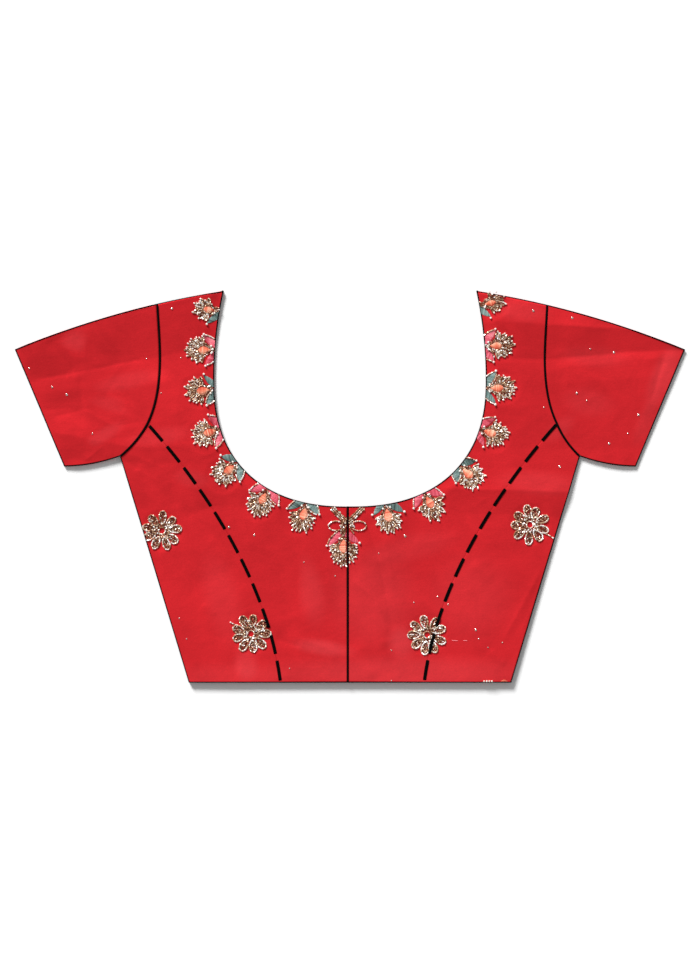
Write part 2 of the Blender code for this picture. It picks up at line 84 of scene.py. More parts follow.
# The largest folds of the front, a row for each from the shoulder down: |x|, y and height at the
# points of the fold's line. The left sleeve's soft pleat has one row more than in the construction.
FOLDS_RIGHT = [
    [(115, 198, 3.3), (200, 183, 3.3), (270, 162, 3.3), (336, 136, 3.2)],
    [(115, 143.5, 0.4), (195, 129.2, 0.4), (230, 124.2, 0.5), (270, 116.2, 1.0), (336, 103, 0.5)],
    [(115, 112, 0.6), (200, 103, 1.6), (270, 97, 1.2), (336, 91, 1.2)],
    [(115, 84, 2.1), (200, 81, 1.9), (270, 78, 1.0), (336, 76, 0.6)],
    [(95, 30, 2.6), (135, 38, 3.1), (225, 41, 2.5), (246, 46, 2.2), (302, 54, 2.8), (336, 57, 2.6)],
    [(50, 22, 2.0), (150, 22, 2.1), (230, 25, 1.0)],
    [(30, -3, 1.3), (150, -3, 1.4), (230, -3, 1.0)],
    [(0, -18, 0.6), (80, -25, 0.7), (110, -18, 0.6), (135, -20.5, 0.4), (165, -26, 0.4), (220, -37, 0.5)],
    [(0, -95, 0.5), (120, -95, 0.6), (200, -95, 0.7)],
    [(0, -148, 0.6), (60, -148, 0.6), (120, -148, 1.5), (185, -148, 1.8)],
    [(0, -198, 3.3), (120, -198, 3.3), (170, -198, 2.8)],
]
FOLDS_LEFT = [
    [(115, 198, 2.3), (200, 183, 2.0), (336, 136, 2.0)],
    [(115, 164.2, 3.3), (160, 163.7, 3.3), (235, 160.8, 3.1), (262, 159.4, 2.2), (300, 150.5, 1.4), (336, 135.3, 1.0)],
    [(115, 127.8, 1.5), (210, 127.8, 0.5), (250, 132.4, 0.4), (275, 134.8, 0.4), (336, 136.2, 0.4)],
    [(115, 120, 1.5), (200, 118, 1.15), (270, 126, 1.15), (336, 128, 0.95)],
    [(115, 110, 1.6), (200, 104, 1.5), (270, 108, 1.5), (336, 108, 1.2)],
    [(115, 77, 2.0), (200, 77, 0.9), (280, 77, 0.9), (336, 77, 0.7)],
    [(115, 38, 0.5), (200, 38, 0.4), (290, 38, 0.4)],
    [(60, 20, 0.6), (140, 18, 0.8), (220, 16, 0.9)],
    [(90, 0, 1.6), (130, -3.2, 1.8), (170, -4.2, 2.2), (250, -6, 2.0)],
    [(50, -25, 0.5), (130, -27, 0.4), (220, -31, 0.4)],
    [(0, -60, 0.5), (100, -60, 0.5), (210, -60, 0.8)],
    [(0, -103, 0.6), (60, -103, 0.9), (120, -103, 1.2), (195, -103, 1.1)],
    [(0, -150, 1.2), (60, -150, 1.6), (180, -150, 1.9)],
    [(0, -198, 3.3), (120, -198, 3.3), (165, -198, 2.9)],
]

# Smaller creases pressed into the cloth. height is above the cloth round it, so a valley is below
# 0, and width is how far its slopes reach.
CREASES = [  # x0, y0, x1, y1, height, width
    (-302.0, 147.0, -274.0, 112.0, -0.9, 9.0),
    (-270.5, 112.0, -267.0, 64.0, -0.5, 9.0),
    (-262.0, 160.0, -266.0, 124.0, 0.4, 7.0),
    (-243.0, 92.0, -205.0, 74.0, 0.4, 7.0),
    (-265.0, 26.0, -246.0, 41.0, 0.5, 4.0),
    (-222.0, 34.0, -196.0, 22.0, 0.35, 4.0),
    (-227.0, 28.0, -212.0, 18.0, -0.4, 3.0),
    (-214.0, 18.0, -190.0, 4.0, 0.3, 4.0),
    (-166.0, 18.0, -154.0, 4.0, 0.4, 4.0),
    (-180.0, 2.0, -174.0, -20.0, -0.4, 4.0),
    (-165.0, -30.0, -134.0, -18.0, -0.4, 7.0),
    (-190.0, 112.0, -170.0, 66.0, 0.7, 8.0),
    (-172.0, 122.0, -150.0, 84.0, 0.35, 7.0),
    (-160.0, -93.0, -147.0, -150.0, -0.5, 7.0),
    (-147.0, -118.0, -134.0, -128.0, 0.4, 4.0),
    (-120.0, -120.0, -112.0, -188.0, -0.5, 6.0),
    (-150.0, -40.0, -128.0, -92.0, -0.3, 9.0),
    (-40.0, -43.0, -22.0, -93.0, -0.5, 5.0),
    (-46.0, -50.0, -14.0, -110.0, 0.35, 5.0),
    (-30.0, -73.0, 0.0, -143.0, 0.3, 6.0),
    (-74.0, -152.0, -50.0, -160.0, -0.5, 4.0),
    (-60.0, -148.0, -8.0, -168.0, 0.5, 7.0),
    (-96.0, -60.0, -62.0, -90.0, -0.4, 9.0),
    (3.0, -93.0, 25.0, -113.0, 0.5, 5.0),
    (25.0, -113.0, 37.0, -146.0, 0.6, 4.5),
    (4.0, -160.0, 24.0, -192.0, 0.6, 5.0),
    (36.0, -158.0, 47.0, -186.0, -0.6, 4.0),
    (16.0, -33.0, 29.0, -73.0, -1.1, 5.0),
    (29.0, -73.0, 37.0, -113.0, -0.9, 5.0),
    (37.0, -113.0, 43.0, -142.0, -0.5, 5.0),
    (34.0, -52.0, 44.0, -100.0, 0.5, 4.0),
    (191.0, -84.0, 154.0, -152.0, 0.55, 3.2),
    (196.0, -92.0, 166.0, -146.0, -0.3, 4.0),
    (120.0, -123.0, 141.0, -166.0, 0.3, 6.0),
    (140.0, -164.0, 154.0, -178.0, 0.6, 4.0),
    (62.0, -60.0, 112.0, -48.0, 0.3, 7.0),
    (128.0, -2.0, 134.0, -16.0, 0.4, 3.0),
    (70.0, -120.0, 98.0, -170.0, -0.5, 8.0),
    (122.0, -76.0, 142.0, -92.0, 0.35, 9.0),
    (315.0, 130.0, 302.0, 87.0, -0.8, 5.0),
    (310.0, 130.0, 294.0, 126.0, 0.3, 5.0),
    (262.0, 120.0, 240.0, 66.0, 0.2, 9.0),
    (246.0, 92.0, 236.0, 84.0, 0.35, 5.0),
    (150.0, 118.0, 186.0, 74.0, -0.3, 9.0),
    # the sharp lines along the folds
    (-308.0, 108.0, -262.0, 116.6, -0.32, 1.8),
    (-262.0, 116.6, -205.0, 128.6, -0.26, 1.8),
    (-270.5, 130.0, -267.5, 80.0, -0.26, 1.7),
    (-268.0, 77.0, -234.0, 60.0, 0.32, 3.0),
    (-296.0, 70.0, -268.0, 77.0, -0.3, 2.6),
    (-236.0, 60.0, -206.0, 66.0, -0.25, 3.0),
    (198.0, 128.2, 262.0, 133.8, -0.28, 1.7),
    (262.0, 133.8, 308.0, 136.0, -0.28, 1.6),
    (313.0, 131.0, 301.0, 88.0, -0.28, 1.5),
    (150.0, 127.8, 196.0, 127.8, -0.2, 1.7),
    (202.0, 161.6, 262.0, 158.6, 0.2, 1.5),
    (110.0, -2.2, 222.0, -5.0, 0.22, 1.4),
    (16.0, -34.0, 30.0, -74.0, -0.25, 1.6),
    (-150.0, 25.0, -128.0, 34.0, -0.2, 2.0),
]

# Where the cloth is drawn in under a motif: x, y, radius, depth.
DIMPLES = [
    (-139.7, 174.8, 12.0, 0.3),
    (-147.7, 135.8, 13.0, 0.32),
    (-152.7, 94.8, 13.5, 0.34),
    (-146.7, 49.8, 13.5, 0.34),
    (-127.7, 9.8, 13.5, 0.34),
    (-91.7, -18.3, 13.5, 0.3),
    (-53.7, -32.3, 13.5, 0.28),
    (-6.7, -59.3, 15.0, 0.28),
    (36.3, -33.3, 13.5, 0.28),
    (81.3, -16.3, 13.5, 0.3),
    (118.3, 13.8, 13.0, 0.34),
    (144.3, 50.8, 13.0, 0.34),
    (153.3, 99.8, 14.0, 0.34),
    (150.3, 141.8, 13.5, 0.34),
    (144.3, 182.8, 12.0, 0.3),
    (-188.1, -44.3, 17.0, 0.42),
    (-98.7, -146.7, 17.0, 0.42),
    (76.7, -147.7, 17.0, 0.42),
    (180.1, -37.6, 17.0, 0.4),
]

# Soft places where the silk's colour is painted brighter or duller than round it: painted light and shade
# of the folds, the brighter places also paler as a painted sheen. x, y, reach along, reach across, angle in degrees,
# share.
PAINTED_SHADING_PATCHES = [
    (-305.0, 122.0, 36.0, 15.0, 15.0, -0.15),
    (-276.0, 143.0, 15.0, 13.0, 60.0, 0.09),
    (-228.0, 144.0, 34.0, 15.0, 12.0, -0.1),
    (-212.0, 166.0, 34.0, 9.0, 10.0, -0.08),
    (-278.0, 92.0, 20.0, 8.0, 10.0, -0.07),
    (-262.0, 72.0, 18.0, 9.0, -15.0, -0.1),
    (-246.0, 52.0, 22.0, 7.0, 30.0, 0.08),
    (-236.0, 82.0, 24.0, 8.0, -10.0, 0.05),
    (-165.0, 161.0, 38.0, 24.0, 8.0, -0.06),
    (-288.0, 84.0, 20.0, 13.0, 5.0, -0.08),
    (-278.0, 34.0, 20.0, 12.0, 10.0, -0.1),
    (-222.0, 106.0, 34.0, 9.0, 12.0, 0.06),
    (-205.0, 79.0, 26.0, 8.0, -8.0, -0.06),
    (-190.0, 50.0, 32.0, 9.0, 10.0, 0.06),
    (-213.0, -6.0, 14.0, 28.0, 12.0, -0.05),
    (-158.0, 8.0, 18.0, 9.0, -10.0, 0.06),
    (-26.0, -161.0, 30.0, 8.0, -8.0, 0.14),
    (-40.0, -104.0, 14.0, 34.0, 12.0, 0.08),
    (52.0, -156.0, 14.0, 16.0, 0.0, 0.12),
    (238.0, 84.0, 26.0, 14.0, -10.0, 0.05),
    (210.0, 58.0, 18.0, 9.0, 40.0, 0.06),
    (296.0, 66.0, 9.0, 26.0, -24.0, 0.06),
    (-104.0, -178.0, 12.0, 16.0, 10.0, 0.1),
    (-128.0, -112.0, 18.0, 46.0, 14.0, 0.05),
    (-62.0, -86.0, 15.0, 30.0, 10.0, -0.05),
    (24.0, -112.0, 44.0, 50.0, 10.0, 0.07),
    (52.0, -186.0, 130.0, 17.0, 0.0, 0.1),
    (-120.0, -190.0, 60.0, 14.0, 0.0, 0.05),
    (120.0, -112.0, 44.0, 42.0, 30.0, 0.05),
    (62.0, -60.0, 44.0, 14.0, 12.0, 0.05),
    (190.0, 4.0, 42.0, 12.0, -4.0, 0.07),
    (314.0, 112.0, 12.0, 34.0, -24.0, 0.12),
    (168.0, 176.0, 30.0, 11.0, -8.0, 0.07),
    (245.0, 130.0, 34.0, 11.0, -4.0, 0.05),
]


# ------------------------------------------------------------------ outline curves
def bezier(p0, p1, p2, p3, t):
    t = np.asarray(t, float)[:, None]
    p0, p1, p2, p3 = (np.array(p, float) for p in (p0, p1, p2, p3))
    return (
        (1 - t) ** 3 * p0
        + 3 * (1 - t) ** 2 * t * p1
        + 3 * (1 - t) * t**2 * p2
        + t**3 * p3
    )


def lengths(points):
    return np.concatenate(
        [[0], np.cumsum(np.linalg.norm(np.diff(points, axis=0), axis=1))]
    )


def spaced(points, n):
    """n + 1 points along a line, evenly by length."""
    points = np.asarray(points, float)
    along = lengths(points)
    at = np.linspace(0, along[-1], n + 1)
    return np.stack(
        [np.interp(at, along, points[:, k]) for k in range(points.shape[1])], axis=1
    )


def cut_start(points, length):
    points = np.asarray(points, float)
    along = lengths(points)
    first = [np.interp(length, along, points[:, k]) for k in range(points.shape[1])]
    return np.vstack([first, points[along > length + 1e-6]])


def trimmed(line, start, end):
    return cut_start(cut_start(line, start)[::-1], end)[::-1]


def offset(points, distance):
    """The line moved to its right as one walks along it."""
    points = np.asarray(points, float)
    along = np.gradient(points, axis=0)
    along /= np.linalg.norm(along, axis=1)[:, None]
    return points + distance * np.stack([along[:, 1], -along[:, 0]], axis=1)


def shoulder_y(x):
    t = np.asarray(x, float) - NECK_HALF_TOP
    return TOP - SHOULDER_SLOPE * t - SHOULDER_BEND * t * t


def shoulder_line(x0, x1, n):
    x = np.linspace(x0, x1, n + 1)
    return np.stack([x, shoulder_y(x)], axis=1)


def neck_line(end_x, wider=0.0, n=600):
    s = np.linspace(0, 1, n)
    drop = NECK_HALF_MAX - NECK_HALF_TOP
    upper = np.stack(
        [NECK_HALF_MAX - drop * (1 - s) ** 2, TOP - NECK_WIDEST * s], axis=1
    )
    a = s * math.pi / 2
    lower = np.stack(
        [
            NECK_HALF_MAX * np.cos(a) ** (2 / NECK_POWER),
            TOP
            - NECK_WIDEST
            - (NECK_DEPTH - NECK_WIDEST) * np.sin(a) ** (2 / NECK_POWER),
        ],
        axis=1,
    )
    line = np.vstack([upper, lower[1:]])
    if wider:
        line = offset(line, -wider)
        line[0] = (line[0][0], float(shoulder_y(line[0][0])))
        line[-1] = (0.0, line[-1][1])
    keep = line[line[:, 0] > end_x + 0.5]
    return np.vstack([keep, [end_x, line[-1][1]]])


def neck_half(y):
    """Half the neck's width at a height, 0 below the neck."""
    y = np.asarray(y, float)
    low = TOP - NECK_WIDEST
    up = (
        NECK_HALF_MAX
        - (NECK_HALF_MAX - NECK_HALF_TOP) * ((y - low) / NECK_WIDEST).clip(0, 1) ** 2
    )
    share = ((low - y) / (NECK_DEPTH - NECK_WIDEST)).clip(0, 1)
    down = NECK_HALF_MAX * (1 - share**NECK_POWER) ** (1 / NECK_POWER)
    return np.where(y > low, up, down)


def armhole_line(t):
    top = (ARMHOLE_TOP_X, float(shoulder_y(ARMHOLE_TOP_X)))
    return bezier(top, *ARMHOLE_PULL, UNDERARM, t)


def armhole_stations(n_up, n_low):
    up = spaced(armhole_line(np.linspace(0, PRINCESS_AT, 400)), n_up)
    low = spaced(armhole_line(np.linspace(PRINCESS_AT, 1, 400)), n_low)
    return np.vstack([up, low[1:]])


def underarm_line(n):
    x = np.linspace(UNDERARM[0], CUFF_LOW[0], n + 1)
    rise = UNDERARM_BEND * (CUFF_LOW[0] - x) ** 2
    rise *= (UNDERARM[1] - CUFF_LOW[1]) / rise[0]
    return np.stack([x, CUFF_LOW[1] + rise], axis=1)


def princess_line(n=600):
    start = armhole_line([PRINCESS_AT])[0]
    end = (PRINCESS_HEM, HEM)
    return bezier(start, *PRINCESS_PULL, end, np.linspace(0, 1, n))


def crossing_length(a, b, clear):
    a, b = np.array(a, float), np.array(b, float)
    a, b = a / np.linalg.norm(a), b / np.linalg.norm(b)
    return clear / abs(a[0] * b[1] - a[1] * b[0])


def to_side(points, side, shift=0.0):
    points = np.array(points, float)
    points[:, 0] = side * points[:, 0] + shift
    return points


def edges():
    """The edges of the +X half: overarm and shoulder, underarm and side seam, neck, cuff, hem."""
    cuff_top = (CUFF_HALF, float(shoulder_y(CUFF_HALF)))
    overarm = shoulder_line(NECK_HALF_TOP, CUFF_HALF, 40)
    underside = np.vstack(
        [underarm_line(10)[::-1], spaced([UNDERARM, (HEM_HALF, HEM)], 2)[1:]]
    )
    hem = np.array([(HEM_HALF, HEM), (0.0, HEM)])
    return overarm, underside, neck_line(0.0, n=50), np.array([cuff_top, CUFF_LOW]), hem


OVERARM, UNDERSIDE, NECK, CUFF, HEM_EDGE = edges()


def distance_to(points, line):
    p = np.asarray(points, float).copy()
    p[:, 0] = np.abs(p[:, 0])
    best = np.full(len(p), 1e9)
    for a, b in zip(line[:-1], line[1:]):
        d = b - a
        t = np.clip(((p - a) @ d) / max(d @ d, 1e-9), 0, 1)
        best = np.minimum(best, np.hypot(*(p - a - t[:, None] * d).T))
    return best


def edge_distance(points):
    """Each point's distance from the nearest edge."""
    return np.minimum.reduce(
        [distance_to(points, line) for line in (OVERARM, UNDERSIDE, NECK, CUFF, HEM_EDGE)]
    )


# ------------------------------------------------------------------ the front layer's relief
def smooth(x):
    x = np.clip(x, 0, 1)
    return x * x * (3 - 2 * x)


def fold_y(ax, line):
    """Where a fold's line passes at each |x|; its end stretches go on beyond its ends."""
    xs, ys, _ = np.array(line, float).T
    first = (ys[1] - ys[0]) / (xs[1] - xs[0])
    last = (ys[-1] - ys[-2]) / (xs[-1] - xs[-2])
    y = np.interp(ax, xs, ys)
    y = np.where(ax < xs[0], ys[0] + (ax - xs[0]) * first, y)
    return np.where(ax > xs[-1], ys[-1] + (ax - xs[-1]) * last, y)


def fold_lift(x, y, folds):
    """Height across the folds of one side, their crests rounded over a millimetre or so."""
    ax = np.abs(x)
    total = np.zeros_like(ax)
    taps = (-0.7, 0.0, 0.7)
    wander = 0.9 * np.sin(ax / 23.0 + 0.7) + 0.5 * np.sin(ax / 9.0 + 2.0)
    lines = [fold_y(ax, line) + wander for line in folds]
    heights = [np.interp(ax, [p[0] for p in line], [p[2] for p in line]) for line in folds]
    for tap in taps:
        value = heights[0].copy()
        for top, low, h0, h1 in zip(lines[:-1], lines[1:], heights[:-1], heights[1:]):
            t = np.clip((top - (y + tap)) / np.maximum(top - low, 1.0), 0, 1)
            value = np.where(t > 0, h0 + (h1 - h0) * t, value)
        total += value
    return total / len(taps)


def segment_fields(x, y, x0, y0, x1, y1):
    """Distance from a segment, signed by side, and how far along it, from 0 to 1."""
    dx, dy = x1 - x0, y1 - y0
    length = math.hypot(dx, dy)
    t = ((x - x0) * dx + (y - y0) * dy) / length**2
    d = ((x - x0) * dy - (y - y0) * dx) / length
    return d, t, length


def crease_height(x, y, rows):
    total = np.zeros_like(x)
    for x0, y0, x1, y1, height, width in rows:
        d, t, length = segment_fields(x, y, x0, y0, x1, y1)
        end = smooth((t + 0.12) / 0.3) * smooth((1.12 - t) / 0.3)
        total += height * end * np.exp(-np.sqrt(d * d + 0.8) / width)
    return total


def small_creases(n, seed):
    """Short faint creases at random places, each as a row of the crease table."""
    rng = np.random.default_rng(seed)
    rows = []
    for _ in range(n):
        x, y = rng.uniform(-325, 325), rng.uniform(HEM, TOP)
        a = rng.normal(-0.25, 0.8) if x > 0 else rng.normal(0.25, 0.8)
        reach = rng.uniform(9, 30)
        dx, dy = math.cos(a) * reach, math.sin(a) * reach
        height = rng.uniform(0.06, 0.2) * (1 if rng.random() < 0.6 else -1)
        rows.append((x - dx, y - dy, x + dx, y + dy, height, rng.uniform(2.2, 4.5)))
    return rows


SMALL_FRONT = small_creases(90, 11)
SMALL_BACK = small_creases(60, 12)


def ripples(x, y, seed, size, height):
    """Soft unevenness, from a few waves that cross at odd angles."""
    rng = np.random.default_rng(seed)
    total = np.zeros_like(x)
    for _ in range(9):
        a = rng.uniform(0, math.pi)
        wave = size * rng.uniform(0.6, 1.7)
        phase = rng.uniform(0, 2 * math.pi)
        bend = rng.uniform(0.5, 1.5)
        along = x * math.cos(a) + y * math.sin(a)
        across = -x * math.sin(a) + y * math.cos(a)
        total += np.sin(
            2 * math.pi * (along + 0.18 * wave * np.sin(across / wave * bend)) / wave
            + phase
        )
    return height * total / 3.0


def rounded(x):
    """Rises from 0 to 1 as a quarter of a circle does."""
    x = np.clip(x, 0, 1)
    return np.sqrt(1 - (1 - x) ** 2)


def lift(points):
    """The large folds, as in the construction."""
    p = np.asarray(points, float)
    x, y = p[:, 0], p[:, 1]
    w = smooth((x + 40) / 80)
    folds = (1 - w) * fold_lift(x, y, FOLDS_RIGHT) + w * fold_lift(x, y, FOLDS_LEFT)
    over, under = distance_to(p, OVERARM), distance_to(p, UNDERSIDE)
    free = np.minimum(distance_to(p, NECK), distance_to(p, CUFF))
    edge = rounded(np.minimum(over, under) / 0.6)
    edge = edge * (FREE_EDGE + (1 - FREE_EDGE) * smooth(free / (2 * EDGE_FADE)))
    near = np.abs(x - CENTRE_X)
    below_neck = y < TOP - NECK_DEPTH + 30
    placket = PLACKET_LIFT * (
        1 - smooth((near - PLACKET_FLAT) / (PLACKET_FADE - PLACKET_FLAT))
    )
    placket = np.where(below_neck, placket, 0.0)
    raised = placket + edge * folds * (1 - 0.75 * placket / PLACKET_LIFT)
    return np.minimum(raised, MOST_LIFT)


def fine(points):
    """The small creases and unevenness of the front, which die away at the edges."""
    p = np.asarray(points, float)
    x, y = p[:, 0], p[:, 1]
    raised = crease_height(x, y, CREASES) + crease_height(x, y, SMALL_FRONT)
    raised += ripples(x, y, 5, 52.0, 0.07) + ripples(x, y, 6, 19.0, 0.024)
    for cx, cy, radius, depth in DIMPLES:
        far = np.hypot(x - cx, y - cy)
        raised -= depth * smooth((radius + 5.5 - far) / 6.0)
    return raised * smooth(edge_distance(p) / 7.0)


def painted_shading(points):
    """How much brighter or duller the silk's colour is painted at each point, as painted light and shade."""
    p = np.asarray(points, float)
    total = np.zeros(len(p))
    for cx, cy, along, across, angle, share in PAINTED_SHADING_PATCHES:
        a = math.radians(angle)
        dx, dy = p[:, 0] - cx, p[:, 1] - cy
        u = (dx * math.cos(a) + dy * math.sin(a)) / along
        v = (-dx * math.sin(a) + dy * math.cos(a)) / across
        total += share * smooth(1.35 - np.hypot(u, v))
    return total


def front_base(points):
    """Height of the front layer's underside."""
    raised = lift(points)
    return Z_FRONT + np.maximum(raised + fine(points), -0.2)


def front_top(points):
    return front_base(points) + WALL


# ------------------------------------------------------------------ mesh making
def coons(c0, c1, r0, r1, v=None):
    """A patch between an inner and an outer line, and its two ends. v spaces it across."""
    n = len(c0) - 1
    m = len(r0) - 1
    u = np.linspace(0, 1, n + 1)[:, None, None]
    v = (np.linspace(0, 1, m + 1) if v is None else np.asarray(v))[None, :, None]
    ruled = (1 - v) * c0[:, None] + v * c1[:, None]
    ends = (1 - u) * r0[None] + u * r1[None]
    corners = (1 - u) * ((1 - v) * c0[0] + v * c1[0]) + u * (
        (1 - v) * c0[-1] + v * c1[-1]
    )
    return ruled + ends - corners


def at_shares(line, shares):
    line = np.asarray(line, float)
    along = lengths(line)
    at = np.asarray(shares) * along[-1]
    return np.stack([np.interp(at, along, line[:, k]) for k in (0, 1)], axis=1)


def outward(points, faces):
    """The faces of a closed surface, turned round if they point inwards."""
    points = np.asarray(points, float)
    volume = 0.0
    for size in {len(f) for f in faces}:
        corners = points[np.array([f for f in faces if len(f) == size])]
        for k in range(1, size - 1):
            across = np.cross(corners[:, k], corners[:, k + 1])
            volume += float((corners[:, 0] * across).sum())
    return [f[::-1] for f in faces] if volume < 0 else faces


def make(name, verts, faces, material, attributes=None, flat=False):
    """A mesh object from points in millimetres and lists of faces."""
    mesh = bpy.data.meshes.new(name)
    verts = np.asarray(verts, float) * MM
    mesh.from_pydata(verts.tolist(), [], [f for part in faces for f in part])
    for key, values in (attributes or {}).items():
        layer = mesh.attributes.new(key, "FLOAT", "POINT")
        layer.data.foreach_set("value", np.asarray(values, np.float32))
    if not flat:
        mesh.shade_smooth()
    mesh.materials.append(material)
    mesh.update()
    obj = bpy.data.objects.new(name, mesh)
    bpy.context.scene.collection.objects.link(obj)
    return obj


def grid_faces(n, m, start=0, flip=False, wrap=False):
    idx = np.arange(n * m).reshape(n, m) + start
    if wrap:
        idx = np.concatenate([idx, idx[:, :1]], axis=1)
    a, b, c, d = idx[:-1, :-1], idx[1:, :-1], idx[1:, 1:], idx[:-1, 1:]
    quads = np.stack([q.ravel() for q in ((a, d, c, b) if flip else (a, b, c, d))], 1)
    return quads.tolist()


def rim_loop(n, m):
    return (
        [(i, 0) for i in range(n)]
        + [(n - 1, j) for j in range(1, m)]
        + [(i, m - 1) for i in range(n - 2, -1, -1)]
        + [(0, j) for j in range(m - 2, 0, -1)]
    )


COARSE = 3  # the hidden face of a wall has one face for this many, each way


def shell(grid, shown, hidden):
    """Points and faces of a thin closed wall over a grid in plan, coarser on its hidden face."""
    n, m = grid.shape[:2]
    assert (n - 1) % COARSE == 0 and (m - 1) % COARSE == 0
    fine_points = np.concatenate([grid, shown[..., None]], axis=2).reshape(-1, 3)
    few = np.concatenate([grid, hidden[..., None]], axis=2)[::COARSE, ::COARSE]
    k, q = few.shape[:2]
    di, dj = grid[1, 0] - grid[0, 0], grid[0, 1] - grid[0, 0]
    flip = (di[0] * dj[1] - di[1] * dj[0] < 0) != bool(np.mean(shown - hidden) < 0)
    faces = grid_faces(n, m, 0, flip) + grid_faces(k, q, n * m, not flip)
    ring = [i * m + j for i, j in rim_loop(n, m)]
    ring.append(ring[0])
    other = [n * m + i * q + j for i, j in rim_loop(k, q)]
    other.append(other[0])
    for at in range(len(other) - 1):
        along = ring[at * COARSE : at * COARSE + COARSE + 1]
        face = along + [other[at + 1], other[at]]
        faces.append(face[::-1] if not flip else face)
    return np.vstack([fine_points, few.reshape(-1, 3)]), faces


def sweep(line, radius, sides=8, shape=None, closed=False, flat_ends=True, squash=1.0):
    """A tube along a line in space. shape(angle, distance) scales the radius at each point of the
    surface, and squash flattens the section."""
    line = np.asarray(line, float)
    along = lengths(line)
    t = np.gradient(line, axis=0)
    if closed:
        t = np.roll(line, -1, 0) - np.roll(line, 1, 0)
    t /= np.linalg.norm(t, axis=1)[:, None]
    side = np.cross(t, (0, 0, 1.0))
    side /= np.linalg.norm(side, axis=1)[:, None]
    up = np.cross(side, t)
    a = np.linspace(0, 2 * math.pi, sides, endpoint=False)
    r = radius * (
        np.ones((len(line), sides))
        if shape is None
        else shape(a[None, :], along[:, None])
    )
    points = (
        line[:, None]
        + (r * np.cos(a))[..., None] * side[:, None]
        + (r * np.sin(a) * squash)[..., None] * up[:, None]
    ).reshape(-1, 3)
    n = len(line)
    faces = grid_faces(n, sides, wrap=True, flip=True)
    if closed:
        last = (n - 1) * sides
        faces += [
            [last + k, k, (k + 1) % sides, last + (k + 1) % sides][::-1]
            for k in range(sides)
        ]
    elif flat_ends:
        faces += [
            list(range(sides))[::-1],
            list(range((n - 1) * sides, n * sides)),
        ]
    return points, faces


def joined(parts):
    """Several (points, faces) as one."""
    points, faces, start = [], [], 0
    for p, f in parts:
        points.append(p)
        faces += [[k + start for k in face] for face in outward(p, f)]
        start += len(p)
    return np.vstack(points), faces


def on_cloth(line, up=0.0):
    """A plan line laid on the front's upper surface, up above it."""
    line = np.asarray(line, float)
    return np.column_stack([line, front_top(line) + up])


# ------------------------------------------------------------------ materials
def node_material(name):
    material = bpy.data.materials.new(name)
    material.use_nodes = True
    tree = material.node_tree
    shader = tree.nodes["Principled BSDF"]
    return material, tree, shader


def add(tree, kind, **values):
    node = tree.nodes.new(kind)
    for key, value in values.items():
        if key in node.inputs:
            node.inputs[key].default_value = value
        else:
            setattr(node, key, value)
    return node


def ramp(tree, source, stops):
    node = tree.nodes.new("ShaderNodeValToRGB")
    elements = node.color_ramp.elements
    while len(elements) < len(stops):
        elements.new(0.5)
    for element, (at, colour) in zip(elements, stops):
        element.position = at
        element.color = (*colour, 1.0)
    tree.links.new(source, node.inputs[0])
    return node


def linear(r, g, b):
    return tuple(
        (c / 255 / 12.92) if c / 255 <= 0.04045 else ((c / 255 + 0.055) / 1.055) ** 2.4
        for c in (r, g, b)
    )
